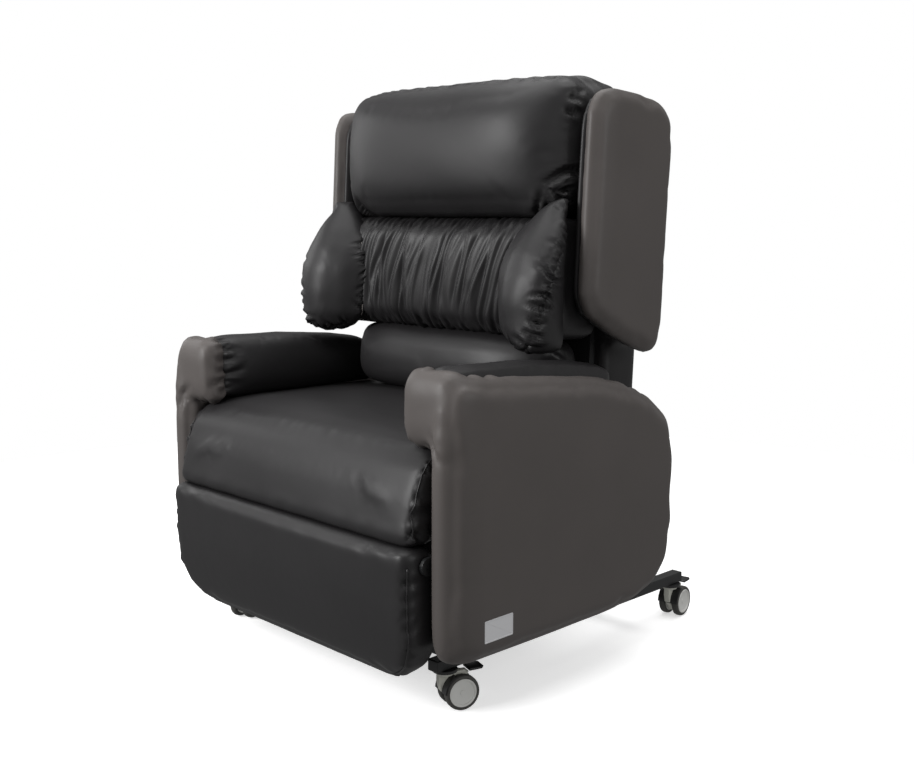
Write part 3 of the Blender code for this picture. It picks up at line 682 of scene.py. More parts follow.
@new_operator
class RECLINER_OT_head_cushion(bpy.types.Operator):
    """Make the head cushion: a smooth roll, pinched at its ends"""
    bl_idname = "recliner.head_cushion"
    bl_label = "Head cushion"

    def execute(self, context):
        (x0, y0, z0), (x1, y1, z1) = upright_box("head_cushion")
        bm = bmesh.new()
        add_box(bm, (x0, y0 + 0.004, z0 + 0.002), (x1, y1 + 0.010, z1), HEAD_ROLL)
        add_box(bm, (x0, y1 - 0.080, z1 - 0.090), (x1, y1 + 0.062, z1 + 0.002), HEAD_ROLL - 0.006)
        mesh = refine(inflate(skin(bm, 0.0115, HEAD_ROLL), upholstery().puff), 2)
        points = positions(mesh)
        # The ends turn back and their lower corners lift; the middle sags a little.
        u = np.clip(np.abs(points[:, 0]) / x1, 0, 1.05)
        front = 1.0 - ramp(points[:, 1], y0, y1)
        height = np.clip((points[:, 2] - z0) / (z1 - z0), 0, 1)
        points[:, 1] += 0.078 * u ** 4 * front
        points[:, 2] += 0.030 * u ** 10 * (1 - height) - 0.006 * (1 - u ** 2) * (1 - height)
        points[:, 1] -= 0.010 * front * np.sin(height * math.pi) ** 2
        place(mesh, points)
        for side in SIDES.values():
            end = side * (x1 - 0.004)
            edge = dense([(end, y0 + 0.13, z1 - 0.010), (end, y0 + 0.088, z1 - 0.035), (end, y0 + 0.066, z1 - 0.09),
                          (end, y0 + 0.062, (z0 + z1) / 2), (end, y0 + 0.066, z0 + 0.10), (end, y0 + 0.088, z0 + 0.050),
                          (end - side * 0.01, y0 + 0.13, z0 + 0.030)])
            sew(mesh, edge, 0.0060, 0.009)
            high = dense([(end, y0 + 0.090, z1 - 0.035), (end, y0 + 0.066, z1 - 0.105)])
            gather(mesh, high, 31 + side, 0.055, 0.0095, 0.026, 0.24, 0.5)
            lower = dense([(end, y0 + 0.066, z0 + 0.11), (end - side * 0.012, y0 + 0.088, z0 + 0.040),
                           (end - side * 0.08, y0 + 0.055, z0 + 0.012)])
            gather(mesh, lower, 35 + side, 0.085, 0.0085, 0.030, 0.22, 0.7)
            gather(mesh, edge, 41 + side, 0.030, 0.0026, 0.016, 0.3, 0.6)
        top = dense([(x0 + 0.03, y0 + 0.078, z1 + 0.004), (0, y0 + 0.066, z1 + 0.008),
                     (x1 - 0.03, y0 + 0.078, z1 + 0.004)])
        sew(mesh, top, 0.0040, 0.006)
        gather(mesh, top, 51, 0.034, 0.0028, 0.040, 0.28, 0.5)
        crumple(mesh, 7, 0.0034, 0.20)
        lean_back(mesh)
        upholster("head_cushion_cover", mesh, "black_cover", "back", "black_vinyl", ["head_cushion"])
        return {"FINISHED"}


@new_operator
class RECLINER_OT_mid_cushion(bpy.types.Operator):
    """Make the mid back cushion, whose cover is ruched into standing folds"""
    bl_idname = "recliner.mid_cushion"
    bl_label = "Mid back cushion"

    def execute(self, context):
        sizes = upholstery()
        (x0, y0, z0), (x1, y1, z1) = upright_box("mid_cushion")
        mesh = pillow((x0, y0 + 0.004, z0), (x1, y1, z1 + 0.004), MID_ROLL, 0.0105, 0.012, 2)
        points = positions(mesh)
        x, z = points[:, 0], points[:, 2]
        height = np.clip((z - z0) / (z1 - z0), 0, 1)
        front = 1.0 - ramp(points[:, 1], y0 + 0.03, y0 + 0.09)
        lift = np.zeros(len(points))
        dice = random.Random(61)
        at = x0 + 0.10
        while at < x1 - 0.08:
            # One fold: it wanders, bows to the right-hand side and leans left as it rises.
            share = (at - x0) / (x1 - x0)
            width = dice.uniform(0.0040, 0.0080) * (1.0 + 0.5 * share)
            lean = 0.028 + 0.060 * share + dice.uniform(-0.022, 0.022)
            bow = -0.020 * (1 - share) + dice.uniform(-0.010, 0.006)
            low_end, high_end = dice.uniform(-0.3, 0.32), dice.uniform(0.72, 1.3)
            depth = sizes.fold_depth * dice.uniform(0.45, 1.15)
            line = at + lean * (height - 0.5) + bow * np.sin(height * math.pi)
            line += 0.0035 * np.sin(height * 8 + at * 90)
            off = (x - line) / (width * (0.8 + 0.5 * height))
            fade = ramp(height, low_end - 0.05, low_end + 0.20) * (1 - ramp(height, high_end - 0.25, high_end + 0.05))
            ridge = np.exp(-((off - 1.9) / 1.1) ** 2)
            lift += depth * fade * (0.75 * ridge - np.exp(-np.abs(off) ** 1.4))
            at += dice.uniform(0.011, 0.030)
        lift = np.clip(lift, -1.5 * sizes.fold_depth, 0.9 * sizes.fold_depth)
        points[:, 1] -= (lift + 0.014 * np.sin(height * math.pi) * np.clip(1 - (x / x1) ** 2, 0, 1)) * front
        place(mesh, points)
        for z_seam in (z0 + 0.008, z1 - 0.004):
            edge = dense([(x0 + 0.06, y0 + 0.016, z_seam), (x1 - 0.06, y0 + 0.016, z_seam)])
            gather(mesh, edge, int(z_seam * 1000), 0.060, 0.0045, 0.017, 0.30, 0.4)
        lean_back(mesh)
        upholster("mid_cushion_cover", mesh, "black_cover", "back", "black_vinyl", ["mid_cushion"])
        return {"FINISHED"}


@new_operator
class RECLINER_OT_lumbar_cushion(bpy.types.Operator):
    """Make the lumbar cushion, tucked between the arm pads"""
    bl_idname = "recliner.lumbar_cushion"
    bl_label = "Lumbar cushion"

    def execute(self, context):
        (x0, y0, z0), (x1, y1, z1) = upright_box("lumbar_cushion")
        mesh = pillow((x0, y0 + 0.004, z0 - 0.016), (x1, y1, z1 + 0.004), LUMBAR_ROLL, 0.0115, 0.012)
        points = positions(mesh)
        u = np.clip(np.abs(points[:, 0]) / x1, 0, 1.05)
        front = 1.0 - ramp(points[:, 1], y0, y1)
        points[:, 1] += 0.075 * u ** 4 * front
        place(mesh, points)
        for side in SIDES.values():
            edge = dense([(side * (x1 - 0.004), y0 + 0.10, z1 - 0.01), (side * (x1 - 0.004), y0 + 0.08, (z0 + z1) / 2),
                          (side * (x1 - 0.004), y0 + 0.10, z0 + 0.01)])
            gather(mesh, edge, 71 + side, 0.08, 0.0036, 0.030, 0.28, 0.6)
        crumple(mesh, 9, 0.0025, 0.18)
        lean_back(mesh)
        upholster("lumbar_cushion_cover", mesh, "black_cover", "back", "black_vinyl", ["lumbar_cushion"])
        return {"FINISHED"}


# A lateral cushion's sections from the bottom up: height, depth in front of the mid cushion, inner edge.
LATERAL_ROWS = ((-0.026, 0.050, 0.315), (-0.012, 0.078, 0.274), (0.016, 0.090, 0.242), (0.066, 0.094, 0.230),
                (0.126, 0.091, 0.226), (0.176, 0.082, 0.234), (0.222, 0.068, 0.258), (0.262, 0.048, 0.300),
                (0.288, 0.030, 0.340), (0.302, 0.016, 0.366))


@new_operator
class RECLINER_OT_lateral_cushions(bpy.types.Operator):
    """Make the lateral cushions: soft wedges gathered along a front seam and pinched below"""
    bl_idname = "recliner.lateral_cushions"
    bl_label = "Lateral cushions"

    def execute(self, context):
        (x0, y0, z0), (x1, y1, z1) = upright_box("lateral_cushion_left")
        bm = bmesh.new()
        loops = []
        for rise, depth, inner in LATERAL_ROWS:
            tip = max(0.352, inner + 0.010)
            bulge = 0.032 * math.sin(math.pi * min(max((rise + 0.03) / 0.34, 0.0), 1.0)) ** 0.6
            face = y1 + 0.044 * ramp(rise, 0.12, 0.31)
            flap = 0.034 * (1 - max(rise, 0) / 0.33) ** 0.6
            section = [(x1 - 0.002, y1 + flap), (x1 + 0.002 + 0.6 * bulge, y1 - 0.008),
                       (x1 + bulge, face - 0.62 * depth), (x1 - 0.014 + bulge, face - 0.90 * depth),
                       (tip, face - depth),
                       (inner + 0.70 * (tip - inner), face - 0.92 * depth),
                       (inner + 0.32 * (tip - inner), face - 0.58 * depth), (inner, face - 0.10 * depth),
                       (inner + 0.010, face + 0.004), (x1 - 0.038, face + 0.006)]
            loops.append(ring_of(bm, [(x, y, z0 + 0.004 + rise) for x, y in section]))
        close_loft(bm, loops)
        plain = refine(inflate(skin(bm, 0.0085, PLAIN_ROLL, 6), 0.013, 5.0), 2)
        for name, side in SIDES.items():
            node = f"lateral_cushion_{name}"
            mesh = plain if side > 0 else mirrored(base)
            if side > 0:
                base = plain.copy()
            front = [(side * x, y1 - depth, z0 + rise) for rise, depth, x in
                     ((0.296, -0.040, x1 + 0.004), (0.262, -0.026, x1 + 0.018), (0.210, 0.004, x1 + 0.026),
                      (0.165, 0.032, x1 + 0.030), (0.110, 0.058, x1 + 0.028), (0.060, 0.072, x1 + 0.020),
                      (-0.020, 0.072, x1 - 0.014))]
            edge = dense(front)
            sew(mesh, edge, 0.0055, 0.0045)
            gather(mesh, edge, 81 + side, 0.060, 0.0062, 0.022, 0.24, 0.5)
            gather(mesh, edge, 85 + side, 0.026, 0.0030, 0.012, 0.28, 0.4)
            foot = dense([front[-1], (side * 0.330, y1 - 0.050, z0 - 0.022), (side * 0.262, y1 - 0.030, z0 - 0.004)])
            sew(mesh, foot, 0.006, 0.006)
            gather(mesh, foot, 91 + side, 0.060, 0.0058, 0.020, 0.25, 0.8)
            rear = dense([(side * 0.246, y1 - 0.010, z0 + 0.01), (side * 0.232, y1 - 0.010, z0 + 0.07),
                          (side * 0.234, y1 - 0.008, z0 + 0.14), (side * 0.266, y1 - 0.006, z0 + 0.20)])
            sew(mesh, rear, 0.003, 0.005)
            gather(mesh, rear, 95 + side, 0.042, 0.0040, 0.014, 0.28, 0.6)
            crumple(mesh, 13 + side, 0.0036, 0.11)
            lean_back(mesh)
            rear = np.array([leaned(p) for p in rear])
            seam_cord(f"lateral_piping_{name}", mesh, rear, 0.0015, "thread", "back", "black_vinyl", 0.0006)
            upholster(f"{node}_cover", mesh, "black_cover", "back", "black_vinyl", [node])
        return {"FINISHED"}


@new_operator
class RECLINER_OT_wings(bpy.types.Operator):
    """Make the wings: a grey outer pad and a black inner pad, sewn back to back"""
    bl_idname = "recliner.wings"
    bl_label = "Wings"

    def execute(self, context):
        (x0, y0, z0), (x1, y1, z1) = upright_box("wing_left")
        y1 += 0.018
        width = y1 - y0
        outline = [(y0, z0 + 0.150), (y0 + 0.002, z0 + 0.122), (y0 + 0.022, z0 + 0.080),
                   (y0 + 0.34 * width, z0 + 0.042), (y1 - 0.070, z0), (y1 - 0.030, z0 - 0.006),
                   (y1 - 0.008, z0 + 0.016), (y1, z0 + 0.060), (y1, z1 - 0.110), (y1 - 0.008, z1 - 0.044),
                   (y1 - 0.050, z1 - 0.012), (y0 + 0.50 * width, z1 - 0.002), (y0 + 0.066, z1),
                   (y0 + 0.022, z1 - 0.014), (y0 + 0.002, z1 - 0.056), (y0, z1 - 0.12)]
        parting = x0 + 0.020
        halves = (("outer", parting, x1, WING_ROLL, 0.0, 0.006),
                  ("inner", x0 - 0.001, parting + 0.003, WING_LINING_ROLL, 0.012, 0.003))
        for half, low, high, roll, tuck, cap in halves:
            bm = bmesh.new()
            middle_z = (z0 + z1) / 2
            # The lining is cut a little smaller, except along the rear.
            drawn = [(y + (tuck if y < y1 - 0.02 else 0), z - (tuck if z > middle_z else -0.3 * tuck))
                     for y, z in outline]
            add_slab(bm, drawn, low, high, roll)
            mesh = refine(inflate(skin(bm, 0.0085, roll, 3), cap))
            points = positions(mesh)
            points[:, 0] -= broad_edge(points[:, 0], x0, x1, 0.010) * (1 - ramp(points[:, 1], y0, y0 + 0.075))
            place(mesh, points)
            base = mesh.copy()
            for name, side in SIDES.items():
                mesh = base.copy() if side > 0 else mirrored(base)
                front = dense([(side * low, y0 + 0.004, z0 + 0.13), (side * low, y0 + 0.004, z1 - 0.08)])
                gather(mesh, front, 101 + side, 0.022, 0.0014, 0.050, 0.3, 0.4)
                crumple(mesh, 17 + side, 0.0013, 0.20)
                lean_back(mesh)
                look, slot = ("grey_cover", "grey_vinyl") if half == "outer" else ("black_cover", "black_vinyl")
                nodes = [f"wing_{name}"] if half == "outer" else []
                upholster(f"wing_{name}_{half}", mesh, look, "back", slot, nodes)
        return {"FINISHED"}


@new_operator
class RECLINER_OT_arm_covers(bpy.types.Operator):
    """Make the arm panels: puffy slabs whose front wraps round the ends of the arm pads"""
    bl_idname = "recliner.arm_covers"
    bl_label = "Arm panels"

    def execute(self, context):
        (x0, y0, z0), (x1, y1, z1) = rest_box("arm_panel_left")
        (px0, py0, pz0), (px1, py1, pz1) = rest_box("arm_pad_left")
        outline = [(y0 - 0.013, 0.215), (y0 - 0.010, 0.170), (y0 + 0.006, z0 + 0.006), (y0 + 0.050, z0 - 0.004),
                   (-0.250, z0 - 0.005), (-0.147, z0 - 0.006), (0.014, z0 - 0.006), (0.120, z0 + 0.002),
                   (0.200, z0 + 0.026), (y1 - 0.010, 0.212), (y1 + 0.003, 0.300), (y1 + 0.004, 0.470),
                   (y1 - 0.014, 0.552),
                   (0.172, 0.606), (0.081, 0.644), (-0.018, 0.668), (-0.152, 0.682), (-0.280, 0.693),
                   (-0.380, z1 - 0.004), (y0 + 0.030, z1 - 0.006), (y0 + 0.004, z1 - 0.030), (y0 - 0.006, 0.640),
                   (y0 - 0.012, 0.520), (y0 - 0.013, 0.400)]
        bm = bmesh.new()
        add_slab(bm, outline, x0 - 0.007, x1 - 0.002, ARM_ROLL)
        # The cap: the panel's front folds inwards over the end of the arm pad.
        cap = [(y0 - 0.003, 0.605), (y0 + 0.002, 0.576), (y0 + 0.018, pz0 - 0.004), (y0 + 0.064, pz0 - 0.004),
               (y0 + 0.068, pz1 - 0.002), (y0 + 0.036, pz1 + 0.003), (y0 + 0.010, pz1 - 0.008),
               (y0 - 0.003, pz1 - 0.042)]
        add_slab(bm, cap, px0 - 0.006, x0 + 0.052, ARM_ROLL)
        base = refine(inflate(skin(bm, 0.010, ARM_ROLL, 3), 0.009))
        points = positions(base)
        plain = points[:, 1] > y0 + 0.075
        points[plain, 0] = np.maximum(points[plain, 0], x0)
        points[:, 0] -= broad_edge(points[:, 0], x0, x1, 0.012) * (1 - ramp(points[:, 1], y0 - 0.01, y0 + 0.075))
        place(base, points)
        for name, side in SIDES.items():
            mesh = base.copy() if side > 0 else mirrored(base)
            near, pad = side * x0, side * px0
            # Puckers where the cap's seam turns, at the notch below it and along the panel's top seam.
            seam = dense([(near, y0 + 0.030, pz0), (pad + side * 0.024, y0 + 0.044, pz0),
                          (pad, y0 + 0.046, pz0 + 0.026),
                          (pad - side * 0.002, y0 + 0.046, pz0 + 0.09), (pad + side * 0.016, y0 + 0.048, pz1 - 0.014),
                          (pad + side * 0.05, y0 + 0.050, pz1)])
            gather(mesh, seam, 111 + side, 0.050, 0.0060, 0.024, 0.30, 0.4)
            notch = dense([(near, y0 + 0.016, pz0 - 0.002), (near + side * 0.026, y0 + 0.002, pz0 + 0.014)])
            gather(mesh, notch, 115 + side, 0.060, 0.0065, 0.026, 0.30, 0.5)
            top = dense([(near + side * 0.012, y0 + 0.06, z1 + 0.002), (near + side * 0.010, -0.28, 0.696),
                         (near + side * 0.010, -0.152, 0.684), (near + side * 0.010, -0.018, 0.668),
                         (near + side * 0.012, 0.081, 0.644), (near + side * 0.012, 0.165, 0.604)])
            sew(mesh, top, 0.0025, 0.006)
            gather(mesh, top[:26], 121 + side, 0.055, 0.0050, 0.026, 0.28, 0.6)
            gather(mesh, top[-40:], 125 + side, 0.060, 0.0056, 0.028, 0.28, 0.6)
            crumple(mesh, 19 + side, 0.0014, 0.26)
            node = f"arm_panel_{name}"
            upholster(f"{node}_cover", mesh, "grey_cover", "seat", "grey_vinyl", [node])
        return {"FINISHED"}


@new_operator
class RECLINER_OT_arm_pads(bpy.types.Operator):
    """Make the arm pads: black rolls along the top inner edge of the arm panels"""
    bl_idname = "recliner.arm_pads"
    bl_label = "Arm pads"

    def execute(self, context):
        (x0, y0, z0), (x1, y1, z1) = rest_box("arm_pad_left")
        # Sections from front to back: a roll that gets lower towards the back.
        bm = bmesh.new()
        loops = []
        for y, top in ((y0 + 0.040, z1 - 0.008), (y0 + 0.10, z1 - 0.004), (-0.20, z1 - 0.006), (-0.04, z1 - 0.020),
                       (y1 - 0.045, z1 - 0.034), (y1 - 0.010, z1 - 0.048)):
            high = top - z0
            section = [(x1 + 0.010, z0 + 0.006), (x0 + 0.020, z0 + 0.006), (x0 + 0.007, z0 + 0.020),
                       (x0 + 0.004, z0 + 0.34 * high), (x0 + 0.006, z0 + 0.60 * high), (x0 + 0.016, z0 + 0.83 * high),
                       (x0 + 0.036, z0 + 0.96 * high), (x0 + 0.062, top), (x1 + 0.010, top - 0.006)]
            loops.append(ring_of(bm, [(x, y, z) for x, z in section]))
        close_loft(bm, loops)
        base = refine(inflate(skin(bm, 0.0080, PLAIN_ROLL, 5), 0.009))
        for name, side in SIDES.items():
            mesh = base.copy() if side > 0 else mirrored(base)
            node = f"arm_pad_{name}"
            inner = side * x0
            ring = dense([(inner + side * 0.04, y0 + 0.050, z0 + 0.002), (inner + side * 0.006, y0 + 0.050, z0 + 0.016),
                          (inner, y0 + 0.050, z0 + 0.085), (inner + side * 0.014, y0 + 0.052, z0 + 0.130),
                          (inner + side * 0.06, y0 + 0.054, z1 - 0.002)])
            gather(mesh, ring, 131 + side, 0.070, 0.0060, 0.024, 0.28, 0.3)
            crumple(mesh, 21 + side, 0.0018, 0.16)
            upholster(f"{node}_cover", mesh, "black_cover", "seat", "black_vinyl", [node])
        return {"FINISHED"}


@new_operator
class RECLINER_OT_back_shell(bpy.types.Operator):
    """Make the upholstered rear cover, with a seam round it and a padded lower back"""
    bl_idname = "recliner.back_shell"
    bl_label = "Back cover"

    def execute(self, context):
        (x0, y0, z0), (x1, y1, z1) = upright_box("back_shell")
        rear = y1 - 0.052
        bm = bmesh.new()
        add_box(bm, (x0, y0, z0 + 0.176), (x1, rear, z1), SHELL_ROLL)
        add_box(bm, (x0 + 0.024, y0, z0), (x1 - 0.024, y1, z0 + 0.196), SHELL_ROLL)
        mesh = refine(inflate(skin(bm, 0.0105, SHELL_ROLL, 3), 0.006))
        crumple(mesh, 27, 0.0014, 0.24)
        ring = dense([(x0 + SEAM_INSET, rear, z0 + 0.22), (x0 + SEAM_INSET, rear, z1 - SEAM_INSET),
                      (x1 - SEAM_INSET, rear, z1 - SEAM_INSET), (x1 - SEAM_INSET, rear, z0 + 0.22)], 0.006)
        sew(mesh, ring, 0.0030, 0.006)
        lean_back(mesh)
        upholster("back_cover", mesh, "black_cover", "back", "black_vinyl", ["back_shell"])
        return {"FINISHED"}


def castor_place(corner):
    """From a castor's own frame, axle along X and trail along Y, to the chair's."""
    swivel = JOINTS[f"castor_swivel_{corner}"]["pos_m"]
    axle = JOINTS[f"wheel_spin_{corner}"]["axis"]
    return Matrix.Translation((swivel[0], swivel[1], 0)) @ Matrix.Rotation(math.atan2(axle[1], axle[0]), 4, "Z")


def turned(bm, profile, centre, segments=48):
    """Turn a profile of (radius, along X) points about an axle along X."""
    points = [bm.verts.new((along, 0, radius)) for radius, along in profile]
    edges = [bm.edges.new(pair) for pair in zip(points, points[1:])]
    bmesh.ops.spin(bm, geom=points + edges, cent=(0, 0, 0), axis=(1, 0, 0), angle=math.tau, steps=segments,
                   use_merge=True)
    bmesh.ops.remove_doubles(bm, verts=bm.verts, dist=MERGE)
    bmesh.ops.recalc_face_normals(bm, faces=bm.faces)
    bmesh.ops.translate(bm, verts=bm.verts, vec=centre)


def crisp(mesh, angle):
    """Smooth shading that breaks at edges sharper than an angle in degrees."""
    mesh.shade_smooth()
    mesh.set_sharp_from_angle(angle=math.radians(angle))
    return mesh


def add_castor_part(name, bm, to_chair, angle, look, body, slot, *nodes):
    """A hard part built in a castor's own frame, set in its place on the chair."""
    mesh = mesh_from(bm, name)
    mesh.transform(to_chair)
    add_piece(name, crisp(mesh, angle), look, body, slot, *nodes)


@new_operator
class RECLINER_OT_castors(bpy.types.Operator):
    """Make the castors: top plate, hooded fork, twin dished wheels with treads, and brake pedal"""
    bl_idname = "recliner.castors"
    bl_label = "Castors"

    def execute(self, context):
        for end in ("front", "rear"):
            for side_name in SIDES:
                corner = f"{end}_{side_name}"
                to_chair = castor_place(corner)
                hub = to_chair.inverted() @ Vector(JOINTS[f"wheel_spin_{corner}"]["pos_m"])
                self.wheels(corner, to_chair, hub)
                self.fork(corner, to_chair, hub)
                self.pedal(corner, to_chair)
        return {"FINISHED"}

    def wheels(self, corner, to_chair, hub):
        rim = hub.z
        for tag, sign in (("outer", 1), ("inner", -1)):
            tread = bmesh.new()
            profile = [(rim - 0.0075, 0.0100), (rim - 0.003, 0.0092), (rim - 0.0008, 0.0108), (rim, 0.0140),
                       (rim, 0.0215), (rim - 0.0010, 0.0245), (rim - 0.0032, 0.0262), (rim - 0.0075, 0.0256),
                       (rim - 0.0075, 0.0100)]
            turned(tread, [(r, sign * x) for r, x in profile], hub)
            nodes = [f"castor_wheels_{corner}"] if sign > 0 else []
            add_castor_part(f"tread_{tag}_{corner}", tread, to_chair, 50, "tread", f"wheels_{corner}",
                            "wheel_plastic", *nodes)

            disc = bmesh.new()
            edge = rim - 0.0073
            profile = [(0.0, 0.0236), (0.0052, 0.0236), (0.0058, 0.0228), (0.0100, 0.0226), (0.0150, 0.0232),
                       (edge - 0.0052, 0.0242), (edge - 0.0042, 0.0262), (edge - 0.0016, 0.0268), (edge, 0.0254),
                       (edge, 0.0102), (edge - 0.003, 0.0096), (0.0080, 0.0100), (0.0, 0.0100)]
            turned(disc, [(r, sign * x) for r, x in profile], hub)
            add_castor_part(f"wheel_disc_{tag}_{corner}", disc, to_chair, 40, "wheel_disc", f"wheels_{corner}",
                            "wheel_plastic")

    def fork(self, corner, to_chair, hub):
        """A web between the wheels that swells into the swivel's collar."""
        bm = bmesh.new()
        outline = arc((hub.y, hub.z), 0.0275, -150, 60, 22)
        outline += [(hub.y + 0.021, 0.0745), (hub.y + 0.016, 0.0790), (-0.010, 0.0800), (-0.0165, 0.0770),
                    (-0.0170, 0.0600), (-0.0120, 0.0420)]
        add_slab(bm, outline, -0.0074, 0.0074)
        rims = [e for e in bm.edges if abs(e.verts[0].co.x - e.verts[1].co.x) < 1e-6]
        round_edges(bm, rims, 0.0018, 3)
        add_castor_part(f"castor_web_{corner}", bm, to_chair, 30, "castor_body", f"castor_{corner}", "castor_grey",
                        f"castor_fork_{corner}")

        collar = bmesh.new()
        profile = [(0.0, 0.0), (0.0175, 0.0), (0.0185, 0.0012), (0.0185, 0.0052), (0.0172, 0.0066), (0.0, 0.0066)]
        turned(collar, profile, (0, 0, 0), 36)
        bmesh.ops.rotate(collar, verts=collar.verts, cent=(0, 0, 0), matrix=Matrix.Rotation(-math.pi / 2, 3, "Y"))
        bmesh.ops.translate(collar, verts=collar.verts, vec=(0, 0, 0.0752))
        add_castor_part(f"castor_collar_{corner}", collar, to_chair, 40, "castor_body", f"castor_{corner}",
                        "castor_grey")

        # The hood covers the wheels' upper rear quarter, as a curved plate.
        hood = bmesh.new()
        shell = arc((hub.y, hub.z), 0.0405, 112, 178, 12) + arc((hub.y, hub.z), 0.0388, 178, 112, 12)
        add_slab(hood, shell, -0.0265, 0.0265)
        add_castor_part(f"castor_hood_{corner}", hood, to_chair, 30, "black_plastic", f"castor_{corner}",
                        "castor_grey")

    def pedal(self, corner, to_chair):
        pivot = to_chair.inverted() @ Vector(JOINTS[f"brake_press_{corner}"]["pos_m"])
        bm = bmesh.new()
        # A stamped blade: thick at its hinge, dished and turned up at its toe.
        outline = [(pivot.y - 0.0040, 0.0788), (pivot.y + 0.010, 0.0790), (pivot.y + 0.024, 0.0796),
                   (pivot.y + 0.0300, 0.0826), (pivot.y + 0.0290, 0.0846), (pivot.y + 0.020, 0.0832),
                   (pivot.y - 0.0010, 0.0838), (pivot.y - 0.0040, 0.0824)]
        add_slab(bm, outline, -0.0168, 0.0168)
        for side in (-1, 1):
            cut_away(bm, (side * 0.0125, pivot.y + 0.030, 0), (side * 0.75, 0.66, 0))
        round_edges(bm, bm.edges[:], 0.0007, 2)
        add_castor_part(f"brake_blade_{corner}", bm, to_chair, 30, "black_plastic", f"pedal_{corner}",
                        "black_plastic", f"brake_pedal_{corner}")


@new_operator
class RECLINER_OT_nameplate(bpy.types.Operator):
    """Make the blank foil nameplate with a pressed border"""
    bl_idname = "recliner.nameplate"
    bl_label = "Nameplate"

    def execute(self, context):
        (x0, y0, z0), (x1, y1, z1) = rest_box("nameplate")
        cover = positions(bpy.data.objects["arm_panel_left_cover"].data)
        under = cover[(cover[:, 1] > y0) & (cover[:, 1] < y1) & (cover[:, 2] > z0) & (cover[:, 2] < z1)]
        x1 = max(x1, float(under[:, 0].max()) + 0.0006)
        bm = bmesh.new()
        add_box(bm, (x0 - 0.006, y0, z0), (x1, y1, z1))
        upright = [e for e in bm.edges if abs(e.verts[0].co.x - e.verts[1].co.x) > 0.001]
        round_edges(bm, upright, 0.0025, 4)
        face = max(bm.faces, key=lambda f: f.calc_center_median().x)
        bmesh.ops.inset_region(bm, faces=[face], thickness=0.0022, depth=0.0)
        bmesh.ops.inset_region(bm, faces=[face], thickness=0.0004, depth=-0.0004)
        add_piece("nameplate_foil", crisp(mesh_from(bm, "nameplate"), 30), "label", "seat", "label_foil", "nameplate")
        return {"FINISHED"}


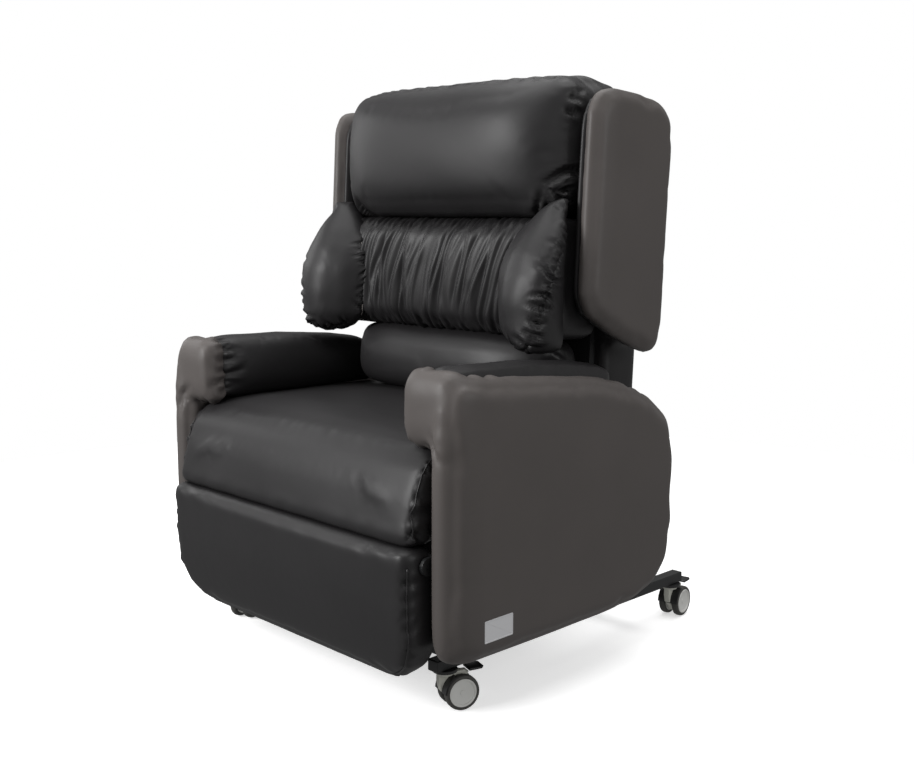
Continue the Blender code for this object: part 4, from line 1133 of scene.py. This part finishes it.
@new_operator
class RECLINER_OT_stage(bpy.types.Operator):
    """Set the floor, the lights and the camera"""
    bl_idname = "recliner.stage"
    bl_label = "Stage"

    def execute(self, context):
        stage = context.scene.recliner_stage
        bm = bmesh.new()
        bmesh.ops.create_circle(bm, cap_ends=True, segments=96, radius=stage.floor_radius)
        floor = bpy.data.objects.new("floor", mesh_from(bm, "floor"))
        context.scene.collection.objects.link(floor)
        floor.location.z = -0.0004
        # Opal acrylic on a light table: it glows faintly, so that only the chair's own shadow greys it.
        material, _, _ = new_material("opal_acrylic_sheet", {
            "Base Color": linear(stage.floor), "Roughness": 0.9, "Specular IOR Level": 0.1,
            "Emission Color": (1.0, 1.0, 1.0, 1.0), "Emission Strength": stage.floor_glow})
        floor.visible_glossy = False
        floor.visible_diffuse = False
        floor.data.materials.append(material)

        world = bpy.data.worlds.new("studio")
        context.scene.world = world
        context.scene.view_settings.view_transform = "Standard"
        world.use_nodes = True
        # White to look at, but a dimmer surround for the chair, so that the softboxes shape it.
        tree = world.node_tree
        tree.nodes.clear()
        ray = add_node(tree, "ShaderNodeLightPath")
        strength = add_node(tree, "ShaderNodeMapRange", {"To Min": stage.sky, "To Max": 1.0},
                            {"Value": ray.outputs["Is Camera Ray"]})
        backdrop = add_node(tree, "ShaderNodeBackground", {"Color": (1.0, 1.0, 1.0, 1.0)},
                            {"Strength": strength.outputs["Result"]})
        add_node(tree, "ShaderNodeOutputWorld", None, {"Surface": backdrop.outputs["Background"]})

        aim = Vector((0, 0, 0.6))
        lamps = {"key_softbox": ((-1.2, -3.7, 2.1), 1.7, 150), "side_softbox": ((3.6, 0.2, 1.7), 1.6, 26),
                 "left_softbox": ((-3.4, -0.8, 2.0), 1.6, 20), "top_softbox": ((0.0, 0.0, 4.2), 4.5, 150)}
        for name, (place_at, size, power) in lamps.items():
            lamp = bpy.data.lights.new(name, "AREA")
            lamp.size = size
            lamp.energy = power
            holder = bpy.data.objects.new(name, lamp)
            context.scene.collection.objects.link(holder)
            holder.location = place_at
            holder.rotation_euler = (aim - Vector(place_at)).to_track_quat("-Z", "Y").to_euler()

        lens = bpy.data.cameras.new("camera")
        lens.lens = stage.lens
        lens.sensor_width = 36.0
        camera = bpy.data.objects.new("camera", lens)
        context.scene.collection.objects.link(camera)
        camera.location = stage.camera_place
        camera.rotation_euler = (math.pi / 2 - stage.camera_dip, 0.0, stage.camera_turn)
        context.scene.camera = camera
        return {"FINISHED"}


class RECLINER_PT_panel(bpy.types.Panel):
    """Buttons for each group of pieces"""
    bl_label = "Patient recliner chair"
    bl_idname = "RECLINER_PT_panel"
    bl_space_type = "VIEW_3D"
    bl_region_type = "UI"
    bl_category = "Recliner"

    def draw(self, context):
        for settings in (context.scene.recliner_upholstery, context.scene.recliner_stage):
            for name in settings.bl_rna.properties.keys():
                if name not in ("rna_type", "name"):
                    self.layout.prop(settings, name)
        for operator in OPERATORS:
            self.layout.operator(operator.bl_idname)


OPERATORS = (
    RECLINER_OT_stage, RECLINER_OT_finishes, RECLINER_OT_seat, RECLINER_OT_legrest, RECLINER_OT_head_cushion,
    RECLINER_OT_mid_cushion, RECLINER_OT_lumbar_cushion, RECLINER_OT_lateral_cushions, RECLINER_OT_wings,
    RECLINER_OT_arm_covers, RECLINER_OT_arm_pads, RECLINER_OT_back_shell, RECLINER_OT_castors,
    RECLINER_OT_nameplate,
)
CLASSES = (UpholsterySettings, StageSettings, *OPERATORS, RECLINER_PT_panel)


def register():
    for cls in CLASSES:
        bpy.utils.register_class(cls)
    bpy.types.Scene.recliner_upholstery = bpy.props.PointerProperty(type=UpholsterySettings)
    bpy.types.Scene.recliner_stage = bpy.props.PointerProperty(type=StageSettings)


def unregister():
    del bpy.types.Scene.recliner_stage
    del bpy.types.Scene.recliner_upholstery
    for cls in reversed(CLASSES):
        bpy.utils.unregister_class(cls)


def main():
    register()
    for operator in OPERATORS:
        group, name = operator.bl_idname.split(".")
        getattr(getattr(bpy.ops, group), name)()


if __name__ == "__main__":
    main()
